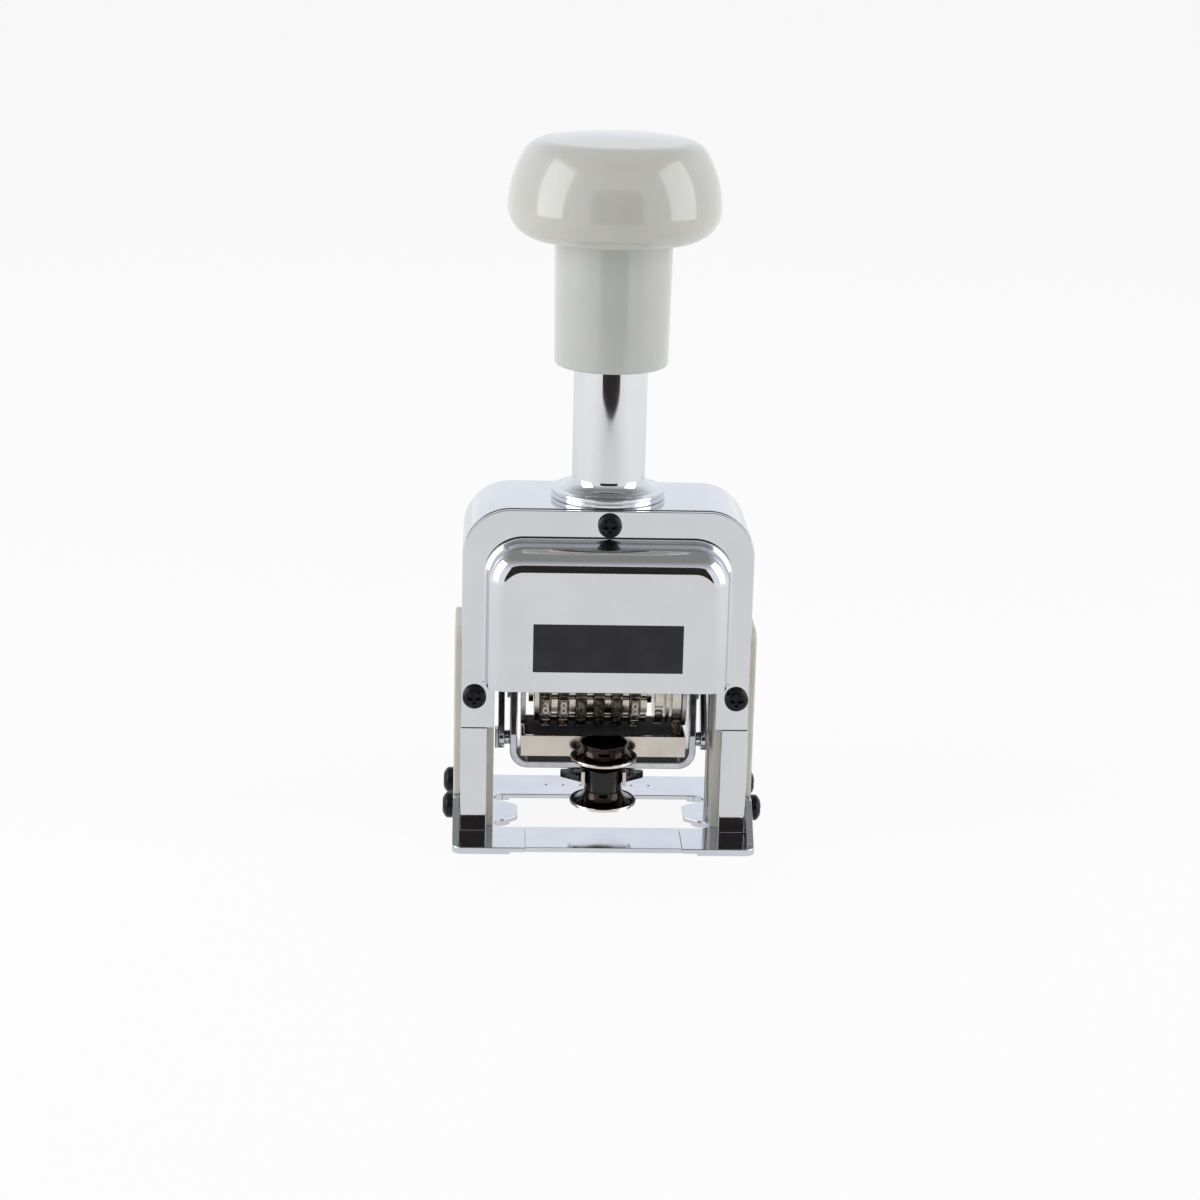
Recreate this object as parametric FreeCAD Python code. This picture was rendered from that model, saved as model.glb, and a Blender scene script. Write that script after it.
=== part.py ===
import FreeCAD, Part
import math
import os

# Hand numbering machine: a chromed case stands on an open base plate, a knob presses a carriage
# with six number wheels down through the base window, and the ink pad swings out of its way.
# X runs across, Y from the front (-Y) to the back and Z up from the table. Sizes are in mm.

# Base plate, its window and its bent-up ears
BASE_D = 47.2
BASE_T = 1.6
BASE_CORNER_R = 2.2
FOOT_W = 12.7
FOOT_RELIEF = 0.5
WINDOW_D = 21.0
WINDOW_YOKE_GAP = 1.3
TONGUE_FRAME_GAP = 0.4
TONGUE_HALF_D = 3.6
TONGUE_TIP_R = 0.8
TONGUE_SPREAD = 1.0
NOTCH_R = 2.2
NOTCH_INSET = 0.2
EAR_TOP_Z = 8.8
EAR_TOP_FRONT_Y = 10.6
EAR_FOOT_Y = 20.5
EAR_CORNER_R = 1.5
EAR_T = 1.55
FRONT_BAR_INSET = 16.0
FRONT_BAR_SETBACK = 0.3
SEAM = 0.06
PRINT_DOT_R = 0.3
PRINT_DOT_DEPTH = 0.3
PRINT_DOTS = 7
PRINT_DOT_Y = 17.0

# Case: an arched channel with a leg at each corner
CASE_D = 27.0
CASE_TOP_Z = 75.3
CASE_CORNER_R = 10.4
CASE_WALL = 1.8
FLANGE_W = 5.85
FLANGE_D = 3.5
COVER_T = 1.2
COVER_FOOT_Z = 25.8
COVER_INSET = 0.2
COVER_MOUTH_HALF_W = 24.3
COVER_MOUTH_Z = 36.3

# Raised front of the cover
BULGE_HALF_W = 26.2
BULGE_TOP_Z = 68.8
BULGE_D = 7.0
BULGE_CORNER_R = 9.0
BULGE_EDGE_R = 4.6
BULGE_WALL = 1.0
LABEL_W = 32.4
LABEL_H = 10.7
LABEL_T = 0.25
LABEL_Z = 46.3

# Screws
COVER_SCREW_HEAD_R = 2.6
COVER_SCREW_R = 1.3
COVER_SCREW_LENGTH = 3.3
COVER_SCREW_INSET = 2.95
COVER_SCREW_LOW_Z = 33.0
COVER_SCREW_TOP_Z = 72.0
COVER_SCREW_HEAD_H = 1.6
BASE_SCREW_HEAD_R = 2.9
BASE_SCREW_R = 1.5
BASE_SCREW_LENGTH = 6.0
BASE_SCREW_HEAD_H = 2.3
BASE_SCREW_Y = 8.2
BASE_SCREW_Z = 5.8
SCREW_SLOT_W = 0.75
SCREW_SLOT_REACH = 0.55
SCREW_SLOT_FLOOR = 0.45
SCREW_CROWN_SHARE = 0.45
SCREW_FLAT_SHARE = 0.45
SCREW_CROWN_BOW = 0.1
SCREW_END_GAP = 0.3
SCREW_CLEARANCE = 0.05

# Cream plastic rails inside the case and panels outside it
RAIL_T = 5.5
RAIL_LINK_GAP = 1.0
RAIL_TOP_Z = 62.0
RAIL_CLEARANCE = 0.05
PANEL_D = 19.6
PANEL_T = 1.5
PANEL_TOP_Z = 47.2
PANEL_CORNER_R = 3.0
PANEL_EDGE_R = 0.5

# Guide tube with its foot flange, and the bush for the push rod
TUBE_R = 8.0
TUBE_WALL = 1.5
TUBE_TOP_Z = 120.0
FOOT_FLANGE_R = 12.5
FOOT_FLANGE_T = 1.9
COLLAR_R = 10.5
COLLAR_FILLET_R = 2.5
BUSH_TOP_Z = 81.0

# Handle
KNOB_R = 22.9
KNOB_TOP_Z = 153.9
KNOB_WIDEST_Z = 139.2
KNOB_FOOT_Z = 132.4
KNOB_FOOT_R = 18.4
KNOB_SKIRT_BOW = 0.16
KNOB_SIDE_BOW = 0.07
KNOB_SHOULDER_BOW = 0.075
KNOB_CROWN_R = 15.5
KNOB_CROWN_DROP = 0.8
KNOB_SHOULDER_R = 19.3
KNOB_SHOULDER_DROP = 2.9
SLEEVE_TOP_R = 12.8
SLEEVE_FOOT_R = 12.3
SLEEVE_FOOT_Z = 104.65
SLEEVE_FOOT_ROUND = 0.9
SLEEVE_MOUTH_R = 11.0
SLEEVE_MOUTH_DEPTH = 4.2
HANDLE_BORE_GAP = 0.08
HANDLE_BORE_TOP_Z = 148.4
ROD_R = 2.5
ROD_THREAD_R = 2.0
ROD_TOP_Z = 151.0
ROD_CLEARANCE = 0.05
SPRING_R = 4.9
SPRING_WIRE = 1.2
SPRING_TURNS = 18

# Carriage
AXLE_Z = 31.7
AXLE_R = 2.0
AXLE_END = 0.15
AXLE_CLEARANCE = 0.05
PRESS_TRAVEL = 22.5
FRAME_T = 1.0
FRAME_HALF_D = 7.5
FRAME_EYE_R = 9.0
FRAME_ROOF_GAP = 2.5
FRAME_TOP_T = 1.6
FRAME_BEND_R = 2.0
SHOE_Z = 58.0
SHOE_H = 7.0
SHOE_HALF_D = 6.0
SHOE_GAP = 0.08
SHOE_ROUND = 0.8
CLIP_R = 3.2
CLIP_T = 0.6
ROD_NUT_ACROSS = 8.0
ROD_NUT_H = 3.0
DETENT_BAR_Z = 13.5
DETENT_BAR_H = 2.0
DETENT_BAR_HALF_D = 2.0
FINGER_W = 1.0
FINGER_T = 0.4
FINGER_GAP = 0.4

# Number wheels
WHEELS = 6
WHEEL_PITCH = 3.95
WHEEL_CHEEK_GAP = 3.2
WHEEL_FACES = 10
WHEEL_FLAT_R = 8.55
TYPE_TOP_R = 9.1
TYPE_HALF_H = 2.2
TYPE_W = 1.9
TYPE_ROOT = 0.1
WHEEL_W = 2.4
RATCHET_R = 8.3
RATCHET_W = 1.45
RATCHET_NOTCH_R = 0.9

# Discs right of the wheels
DISC_GAP = 0.6
END_COLLAR_GAP = 0.2
DIAL_W = 1.8
DIAL_R = 8.6
DIAL_NOTCHES = 8
CAM_DISC_W = 0.8
END_COLLAR_W = 2.0
COLLAR_DISC_R = 8.4

# Feed rocker that steps the wheels
ROCKER_T = 1.0
ROCKER_CHEEK_GAP = 0.7
ROCKER_WHEEL_GAP = 0.25
ROCKER_DIAL_GAP = 0.55
ROCKER_HUB_R = 4.0
ROCKER_ARM_HALF_H = 1.5
ROCKER_BAR_REACH = 11.3
ROCKER_BAR_R = 1.0
ROCKER_REST_DEG = 20.0
PAWL_GAP = 0.3

# Ink yoke: a folded strap that hangs from the axle, with cam links outside it
SWING_DEG = 92.0
YOKE_FOOT_Z = 14.2
YOKE_T = 1.6
YOKE_FRAME_GAP = 0.8
YOKE_BEND_R = 4.0
YOKE_FRONT_Y = 7.0
YOKE_BACK_Y = 6.0
YOKE_EYE_R = 5.0
YOKE_SHOULDER_H = 6.0
YOKE_SHOULDER_R = 4.0
STUD_LENGTH = 1.2
LINK_T = 1.4
LINK_FOOT_Y = -3.0
LINK_FOOT_DROP = 11.6
LINK_FOOT_R = 2.5
LINK_EYE_R = 2.5
ROLLER_OFFSET = 4.6
ROLLER_R = 1.8
ROLLER_END_GAP = 0.3
TRACK_GAP = 0.2
TRACK_DEPTH = 2.4
STUD_R = 1.6
LINK_NUT_ACROSS = 4.4
LINK_NUT_H = 0.7
LINK_PIN_R = 0.8
RUNNER_T = 1.5

# Ink tray and pad
TRAY_YOKE_GAP = 0.8
TRAY_FRONT_Y = 8.0
TRAY_BACK_Y = 7.0
TRAY_TOP_Z = 22.2
TRAY_WALL = 0.8
PAD_LEFT_X = 17.1
PAD_RIGHT_X = 15.8
PAD_WHEEL_GAP = 0.5
SLIDE_GAP = 0.05
BELL_CENTRE_Y = -11.5
BELL_THROAT_R = 5.2
BELL_RIM_R = 7.4
BELL_T = 0.7
BELL_BOW = 0.265
TRAY_BELL_RIM_Z = 18.3

# Release lever below the yoke
LEVER_PIVOT_Z = 12.0
LEVER_PIN_R = 0.8
LEVER_PIN_END = 0.4
LEVER_HUB_R = 1.7
LEVER_ARM_T = 1.4
LEVER_WING_HALF_W = 9.3
LEVER_WING_ROOT = 1.0
LEVER_WING_SWEEP = 3.2
LEVER_WING_T = 1.8
LEVER_WING_INSET = 0.5
LEVER_NECK_R = 4.1
LEVER_NECK_TOP_Z = 16.2
LEVER_BELL_RIM_Z = 8.2
LEVER_BELL_THROAT_Z = 12.4
LEVER_EAR_X = 6.2
LEVER_EAR_T = 1.0
LEVER_EAR_HALF_D = 2.0
LEVER_EAR_R = 1.5
BRACKET_T = 0.8
BRACKET_HALF_D = 2.8
BRACKET_TOP_Z = 16.0

# How far a cutter passes the face it opens
PAST = 1.0

V = FreeCAD.Vector

# Widths, from the wheels between the cheeks out to the ears of the base
wheels_w = WHEEL_W + (WHEELS - 1) * WHEEL_PITCH + RATCHET_W
rocker_span = ROCKER_WHEEL_GAP + ROCKER_T + ROCKER_DIAL_GAP
discs_w = DIAL_W + DISC_GAP + CAM_DISC_W + DISC_GAP + END_COLLAR_W
frame_inner_x = (WHEEL_CHEEK_GAP + wheels_w + rocker_span + discs_w + END_COLLAR_GAP) / 2
first_wheel_x = -frame_inner_x + WHEEL_CHEEK_GAP + WHEEL_W / 2
rocker_left_x = -frame_inner_x + ROCKER_CHEEK_GAP
rocker_right_x = -frame_inner_x + WHEEL_CHEEK_GAP + wheels_w + ROCKER_WHEEL_GAP
dial_x = rocker_right_x + ROCKER_T + ROCKER_DIAL_GAP
cam_disc_x = dial_x + DIAL_W + DISC_GAP
end_collar_x = cam_disc_x + CAM_DISC_W + DISC_GAP
frame_outer_x = frame_inner_x + FRAME_T
yoke_inner_x = frame_outer_x + YOKE_FRAME_GAP
yoke_outer_x = yoke_inner_x + YOKE_T
axle_half_w = yoke_outer_x + SLIDE_GAP + CLIP_T + AXLE_END
tray_half_w = yoke_inner_x - TRAY_YOKE_GAP
link_inner_x = yoke_outer_x + STUD_LENGTH
link_outer_x = link_inner_x + LINK_T
rail_inner_x = link_outer_x + RAIL_LINK_GAP
rail_outer_x = rail_inner_x + RAIL_T
case_half_w = rail_outer_x + RAIL_CLEARANCE + CASE_WALL
base_half_w = case_half_w + EAR_T
foot_inner_x = base_half_w - FOOT_W
front_bar_half_w = base_half_w - FRONT_BAR_INSET
window_half_w = yoke_outer_x + WINDOW_YOKE_GAP
tongue_tip_x = frame_outer_x + TONGUE_FRAME_GAP
cover_screw_x = case_half_w - COVER_SCREW_INSET

# Depths and heights
case_half_d = CASE_D / 2
face_y = case_half_d - COVER_T
cavity_half_d = case_half_d - FLANGE_D
cavity_top_z = CASE_TOP_Z - CASE_WALL
opening_half_w = case_half_w - FLANGE_W
opening_top_z = CASE_TOP_Z - FLANGE_W
frame_top_z = cavity_top_z - FRAME_ROOF_GAP
pad_top_z = AXLE_Z - TYPE_TOP_R - PAD_WHEEL_GAP
yoke_top_z = YOKE_FOOT_Z + YOKE_T
tray_foot_z = yoke_top_z + RUNNER_T + SLIDE_GAP
yoke_inner_r = YOKE_BEND_R - YOKE_T


def box(low, high):
    """Block between two opposite corners."""
    size = V(*high) - V(*low)
    return Part.makeBox(size.x, size.y, size.z, V(*low))


def rod(radius, start, end):
    """Round bar from one point to another."""
    way = V(*end) - V(*start)
    return Part.makeCylinder(radius, way.Length, V(*start), way)


def mirrored(shape):
    """The same piece on the other side of the machine."""
    return shape.mirror(V(0, 0, 0), V(1, 0, 0))


def place_in(plane, level):
    """Function that puts a flat point (u, v) on a plane at a level."""
    if plane == "XY":
        return lambda p: V(p.x, p.y, level)
    if plane == "XZ":
        return lambda p: V(p.x, level, p.y)
    return lambda p: V(level, p.x, p.y)


def outline(corners, put):
    """Closed wire through corners (u, v, radius), rounded by each corner's radius."""
    turns = []
    count = len(corners)
    for i in range(count):
        here = V(corners[i][0], corners[i][1], 0)
        radius = corners[i][2]
        back = (V(corners[i - 1][0], corners[i - 1][1], 0) - here).normalize()
        ahead_of = corners[(i + 1) % count]
        ahead = (V(ahead_of[0], ahead_of[1], 0) - here).normalize()
        if radius == 0:
            turns.append((here, None, here))
            continue
        half = back.getAngle(ahead) / 2
        reach = radius / math.tan(half)
        centre = here + (back + ahead).normalize() * (radius / math.sin(half))
        middle = centre + (here - centre).normalize() * radius
        turns.append((here + back * reach, middle, here + ahead * reach))
    edges = []
    for i in range(count):
        start, middle, end = turns[i]
        if middle is not None:
            edges.append(Part.Arc(put(start), put(middle), put(end)).toShape())
        following = turns[(i + 1) % count][0]
        if (following - end).Length > 1e-6:
            edges.append(Part.LineSegment(put(end), put(following)).toShape())
    return Part.Wire(edges)


def slab(plane, corners, low, high):
    """Plate with a rounded outline on a plane, from one level to another."""
    face = Part.Face(outline(corners, place_in(plane, low)))
    way = {"XY": V(0, 0, 1), "XZ": V(0, 1, 0), "YZ": V(1, 0, 0)}[plane]
    return face.extrude(way * (high - low))


def turned(edges, centre_y=0.0, degrees=360.0):
    """Solid turned about a vertical axis from edges that lie in the XZ plane."""
    shape = Part.Face(Part.Wire(edges)).revolve(V(0, 0, 0), V(0, 0, 1), degrees)
    shape.translate(V(0, centre_y, 0))
    return shape


def line(a, b):
    """Straight edge between two (x, z) points of a turned profile."""
    return Part.LineSegment(V(a[0], 0, a[1]), V(b[0], 0, b[1])).toShape()


def arc(a, middle, b):
    """Arc through three (x, z) points of a turned profile."""
    return Part.Arc(V(a[0], 0, a[1]), V(middle[0], 0, middle[1]), V(b[0], 0, b[1])).toShape()


def bowed(a, b, share):
    """Arc between two profile points that stands off their chord, to the right, by a share of it."""
    across, up = b[0] - a[0], b[1] - a[1]
    return arc(a, ((a[0] + b[0]) / 2 + up * share, (a[1] + b[1]) / 2 - across * share), b)


def closed_profile(points):
    """Straight edges round a turned profile."""
    return [line(points[i - 1], points[i]) for i in range(len(points))]


def save(node, *solids):
    """Write a node from its solids."""
    shape = solids[0] if len(solids) == 1 else Part.makeCompound(list(solids))
    shape.exportStep("parts/" + node + ".step")
    print(node, "solids", len(shape.Solids), "volume", round(shape.Volume, 2), "valid", shape.isValid())


def hexagon_nut(across, height, bore, start):
    """Nut along X from a start point, with a round bore."""
    radius = across / math.sqrt(3)
    corners = []
    for i in range(6):
        turn = math.radians(60 * i)
        corners.append((start[1] + radius * math.cos(turn), start[2] + radius * math.sin(turn), 0))
    nut = slab("YZ", corners, start[0], start[0] + height)
    end = (start[0] + height, start[1], start[2])
    return nut.cut(rod(bore, start, end))


def pan_screw(head_r, head_h, shank_r, length):
    """Cross-slotted pan screw whose head stands up from Z = 0 and whose shank goes down."""
    side = head_h * (1 - SCREW_CROWN_SHARE)
    flat_r = head_r * SCREW_FLAT_SHARE
    head = turned([
        line((0, 0), (head_r, 0)),
        line((head_r, 0), (head_r, side)),
        bowed((head_r, side), (flat_r, head_h), SCREW_CROWN_BOW),
        line((flat_r, head_h), (0, head_h)),
        line((0, head_h), (0, 0)),
    ])
    slot_half = head_r * SCREW_SLOT_REACH
    slot_floor = head_h * SCREW_SLOT_FLOOR
    half_w = SCREW_SLOT_W / 2
    for size in ((slot_half, half_w), (half_w, slot_half)):
        head = head.cut(box((-size[0], -size[1], slot_floor), (size[0], size[1], head_h + PAST)))
    return head.fuse(rod(shank_r, (0, 0, -length), (0, 0, 0))).removeSplitter()


def aimed(shape, axis, degrees, where):
    """Copy of a piece turned about an axis through the origin and moved to its place."""
    copy = shape.copy()
    copy.rotate(V(0, 0, 0), axis, degrees)
    copy.translate(V(*where))
    return copy


def coil(radius, wire, turns, low, high):
    """Compression spring about Z as one tube on biarcs of a quarter turn."""
    rise = (high - low - wire) / turns
    start_z = low + wire / 2

    def on_helix(angle):
        return V(radius * math.cos(angle), radius * math.sin(angle), start_z + rise * angle / (2 * math.pi))

    def heading(angle):
        return V(-radius * math.sin(angle), radius * math.cos(angle), rise / (2 * math.pi)).normalize()

    def tangent_arc(start, way, end):
        chord = end - start
        bulge = (way - chord * (way.dot(chord) / chord.dot(chord))).normalize()
        middle = (start + end) * 0.5 + bulge * (chord.Length / 2 * math.tan(way.getAngle(chord) / 2))
        return Part.Arc(start, middle, end).toShape()

    edges = []
    quarters = 4 * turns
    for i in range(quarters):
        a0 = i * math.pi / 2
        a1 = a0 + math.pi / 2
        p0, p1, t0, t1 = on_helix(a0), on_helix(a1), heading(a0), heading(a1)
        span = p1 - p0
        both = span.dot(t0 + t1)
        spread = 2 * (1 - t0.dot(t1))
        d = (math.sqrt(both * both + spread * span.dot(span)) - both) / spread
        joint = (p0 + p1 + (t0 - t1) * d) * 0.5
        first = tangent_arc(p0, t0, joint)
        edges.append(first)
        back = tangent_arc(p1, t1 * -1, joint)
        edges.append(back)
    path = Part.Wire(Part.__sortEdges__(edges))
    section = Part.Wire(Part.makeCircle(wire / 2, on_helix(0), heading(0)))
    spring = path.makePipeShell([section], True, False)
    per_turn = 24
    points = [on_helix(2 * math.pi * i / per_turn) for i in range(per_turn * turns + 1)]
    spans = [
        (points[j] - points[i]).Length
        for i in range(len(points)) for j in range(i + per_turn // 2, min(i + 2 * per_turn, len(points)))
    ]
    swept = math.pi * (wire / 2) ** 2 * path.Length
    print("spring least gap", round(min(spans) - wire, 2))
    print("spring volume over swept", round(spring.Volume / swept, 4))
    return spring


def arch(half_w, foot_z, top_z, corner_r, low_y, high_y):
    """Arched plate seen from the front, between two depths."""
    return slab("XZ", [
        (-half_w, foot_z, 0), (half_w, foot_z, 0),
        (half_w, top_z, corner_r), (-half_w, top_z, corner_r),
    ], low_y, high_y)


def base_plate():
    """Base with its window, side tongues, ears and front recess."""
    half_w, half_d = base_half_w, BASE_D / 2
    plate = slab("XY", [
        (-half_w, -half_d, BASE_CORNER_R), (half_w, -half_d, BASE_CORNER_R),
        (half_w, half_d, BASE_CORNER_R), (-half_w, half_d, BASE_CORNER_R),
    ], 0, BASE_T)
    window_half_d = WINDOW_D / 2
    window = box((-window_half_w, -window_half_d, -PAST), (window_half_w, window_half_d, BASE_T + PAST))
    root_x, root_half_d = window_half_w + PAST, window_half_d - 2 * NOTCH_R + TONGUE_SPREAD
    for side in (-1, 1):
        tongue = slab("XY", [
            (side * root_x, -root_half_d, 0), (side * tongue_tip_x, -TONGUE_HALF_D, TONGUE_TIP_R),
            (side * tongue_tip_x, TONGUE_HALF_D, TONGUE_TIP_R), (side * root_x, root_half_d, 0),
        ], -PAST, BASE_T + PAST)
        window = window.cut(tongue)
        for end in (-1, 1):
            x, y = side * (window_half_w - NOTCH_INSET), end * (window_half_d - NOTCH_R)
            window = window.fuse(rod(NOTCH_R, (x, y, -PAST), (x, y, BASE_T + PAST)))
    plate = plate.cut(window)
    relief = box((-foot_inner_x, -half_d - PAST, -PAST), (foot_inner_x, half_d + PAST, FOOT_RELIEF))
    bar_half_w = front_bar_half_w
    bar_recess = box((-bar_half_w, -half_d - PAST, -PAST), (bar_half_w, -window_half_d + PAST, BASE_T + PAST))
    plate = plate.cut(relief).cut(bar_recess)
    dot_floor = BASE_T - PRINT_DOT_DEPTH
    for i in range(PRINT_DOTS):
        x = (i - (PRINT_DOTS - 1) / 2) * WHEEL_PITCH
        plate = plate.cut(rod(PRINT_DOT_R, (x, PRINT_DOT_Y, dot_floor), (x, PRINT_DOT_Y, BASE_T + PAST)))
    ear_top_y = EAR_TOP_FRONT_Y + EAR_CORNER_R
    ear = slab("YZ", [
        (-EAR_FOOT_Y, BASE_T, 0), (EAR_FOOT_Y, BASE_T, 0),
        (ear_top_y, EAR_TOP_Z, EAR_CORNER_R), (-ear_top_y, EAR_TOP_Z, EAR_CORNER_R),
    ], case_half_w, half_w)
    for y in (-BASE_SCREW_Y, BASE_SCREW_Y):
        hole_r = BASE_SCREW_R + SCREW_CLEARANCE
        ear = ear.cut(rod(hole_r, (case_half_w - PAST, y, BASE_SCREW_Z), (half_w + PAST, y, BASE_SCREW_Z)))
    return plate.fuse(ear).fuse(mirrored(ear)).removeSplitter()


def front_bar():
    """Bar let into the front of the base, thinner than the feet beside it."""
    half_w = front_bar_half_w - SEAM
    front_y = -BASE_D / 2 + FRONT_BAR_SETBACK
    return box((-half_w, front_y, FOOT_RELIEF), (half_w, -WINDOW_D / 2, BASE_T))


def case_shell():
    """Arched case with its four legs, open at the front, the back and below."""
    shell = arch(case_half_w, BASE_T, CASE_TOP_Z, CASE_CORNER_R, -case_half_d, case_half_d)
    inner_r = CASE_CORNER_R - CASE_WALL
    inner_w = case_half_w - CASE_WALL
    shell = shell.cut(arch(inner_w, BASE_T - PAST, cavity_top_z, inner_r, -cavity_half_d, cavity_half_d))
    opening_r = CASE_CORNER_R - FLANGE_W
    through = case_half_d + PAST
    shell = shell.cut(arch(opening_half_w, BASE_T - PAST, opening_top_z, opening_r, -through, through))
    for low, high in ((-through, -face_y), (face_y, through)):
        reach = case_half_w + PAST
        shell = shell.cut(box((-reach, low, COVER_FOOT_Z), (reach, high, CASE_TOP_Z + PAST)))
    shell = shell.cut(rod(TUBE_R, (0, 0, cavity_top_z - PAST), (0, 0, CASE_TOP_Z + PAST)))
    for x, z in cover_screw_places():
        hole_r = COVER_SCREW_R + SCREW_CLEARANCE
        shell = shell.cut(rod(hole_r, (x, -through, z), (x, through, z)))
    for y in (-BASE_SCREW_Y, BASE_SCREW_Y):
        hole_r = BASE_SCREW_R + SCREW_CLEARANCE
        reach = case_half_w + PAST
        shell = shell.cut(rod(hole_r, (-reach, y, BASE_SCREW_Z), (reach, y, BASE_SCREW_Z)))
    return shell.removeSplitter()


def cover_screw_places():
    """Where the cover screws go: one at the top and one in each ear."""
    low_z = COVER_SCREW_LOW_Z
    return [(0, COVER_SCREW_TOP_Z), (-cover_screw_x, low_z), (cover_screw_x, low_z)]


def cover_plate(front):
    """Flat arched plate with an ear down each leg, and an open mouth between the ears."""
    low, high = (-case_half_d, -face_y) if front else (face_y, case_half_d)
    plate = arch(case_half_w - COVER_INSET, COVER_FOOT_Z, CASE_TOP_Z - COVER_INSET,
                 CASE_CORNER_R - COVER_INSET, low, high)
    mouth = COVER_MOUTH_HALF_W
    plate = plate.cut(box((-mouth, low - PAST, COVER_FOOT_Z - PAST), (mouth, high + PAST, COVER_MOUTH_Z)))
    for x, z in cover_screw_places():
        hole_r = COVER_SCREW_R + SCREW_CLEARANCE
        plate = plate.cut(rod(hole_r, (x, low - PAST, z), (x, high + PAST, z)))
    return plate


def bulge_block(inset, edge_r):
    """Block with the rounded front of the cover's raised part, inset by a wall."""
    front_y = -case_half_d - BULGE_D + inset
    top_z, corner_r = BULGE_TOP_Z - inset, BULGE_CORNER_R - inset
    block = arch(BULGE_HALF_W - inset, COVER_MOUTH_Z, top_z, corner_r, front_y, -face_y)
    edges = []
    for edge in block.Edges:
        middle = edge.CenterOfMass
        at_front = abs(middle.y - front_y) < 1e-3
        above_mouth = middle.z > COVER_MOUTH_Z + 1e-3
        if at_front and above_mouth:
            edges.append(edge)
    return block.makeFillet(edge_r, edges)


def front_cover():
    """Front cover pressed from sheet, with its raised front open below."""
    outer = bulge_block(0, BULGE_EDGE_R)
    inner = bulge_block(BULGE_WALL, BULGE_EDGE_R - BULGE_WALL)
    inner_low = inner.copy()
    inner_low.translate(V(0, 0, -PAST))
    cover = cover_plate(True).fuse(outer).cut(inner).cut(inner_low)
    return cover.removeSplitter()


def cover_screws(front):
    """Three pan screws in a cover."""
    screw = pan_screw(COVER_SCREW_HEAD_R, COVER_SCREW_HEAD_H, COVER_SCREW_R, COVER_SCREW_LENGTH)
    degrees = 90 if front else -90
    y = -case_half_d if front else case_half_d
    return [aimed(screw, V(1, 0, 0), degrees, (x, y, z)) for x, z in cover_screw_places()]


def base_screws():
    """Two pan screws through each ear."""
    screw = pan_screw(BASE_SCREW_HEAD_R, BASE_SCREW_HEAD_H, BASE_SCREW_R, BASE_SCREW_LENGTH)
    screws = []
    for side in (-1, 1):
        for y in (-BASE_SCREW_Y, BASE_SCREW_Y):
            screws.append(aimed(screw, V(0, 1, 0), side * 90, (side * base_half_w, y, BASE_SCREW_Z)))
    return screws


def track_point(share, offset):
    """Point of the cam track, (y, z), at a share of the stroke and a distance to one side."""
    turn = math.radians(SWING_DEG) * share
    reach, drop = ROLLER_OFFSET * math.cos(turn), ROLLER_OFFSET * math.sin(turn)
    rate = math.radians(SWING_DEG)
    here = V(reach, AXLE_Z - PRESS_TRAVEL * share - drop, 0)
    way = V(-drop * rate, -PRESS_TRAVEL - reach * rate, 0)
    way.normalize()
    return here + V(way.y, -way.x, 0) * offset, way


def cam_track(low_x, high_x):
    """Slot that the roller follows, as a solid to cut away."""
    half = ROLLER_R + TRACK_GAP
    steps = 12
    put = place_in("YZ", low_x)
    sides = []
    for offset in (-half, half):
        curve = Part.BSplineCurve()
        curve.interpolate([put(track_point(i / steps, offset)[0]) for i in range(steps + 1)])
        sides.append(curve.toShape())
    caps = []
    for share, sense in ((0, -1), (1, 1)):
        ends = [track_point(share, offset)[0] for offset in (-half, half)]
        middle, way = track_point(share, 0)
        caps.append(Part.Arc(put(ends[0]), put(middle + way * half * sense), put(ends[1])).toShape())
    face = Part.Face(Part.Wire(Part.__sortEdges__(sides + caps)))
    return face.extrude(V(high_x - low_x, 0, 0))


def guide_rail():
    """Right-hand rail inside the case, with the cam track of the ink yoke."""
    half_d = cavity_half_d - RAIL_CLEARANCE
    rail = box((rail_inner_x, -half_d, BASE_T), (rail_outer_x, half_d, RAIL_TOP_Z))
    rail = rail.cut(cam_track(rail_inner_x - PAST, rail_inner_x + TRACK_DEPTH))
    pilot_x = base_half_w - BASE_SCREW_LENGTH - SCREW_END_GAP
    for y in (-BASE_SCREW_Y, BASE_SCREW_Y):
        rail = rail.cut(rod(BASE_SCREW_R, (pilot_x, y, BASE_SCREW_Z), (rail_outer_x + PAST, y, BASE_SCREW_Z)))
    return rail


def side_panel():
    """Right-hand panel on the outside of the case, above the ear."""
    half_d = PANEL_D / 2
    panel = slab("YZ", [
        (-half_d, EAR_TOP_Z + SEAM, 0), (half_d, EAR_TOP_Z + SEAM, 0),
        (half_d, PANEL_TOP_Z, PANEL_CORNER_R), (-half_d, PANEL_TOP_Z, PANEL_CORNER_R),
    ], case_half_w, case_half_w + PANEL_T)
    outer = [e for e in panel.Edges if abs(e.CenterOfMass.x - case_half_w - PANEL_T) < 1e-3]
    return panel.makeFillet(PANEL_EDGE_R, outer)


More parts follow.
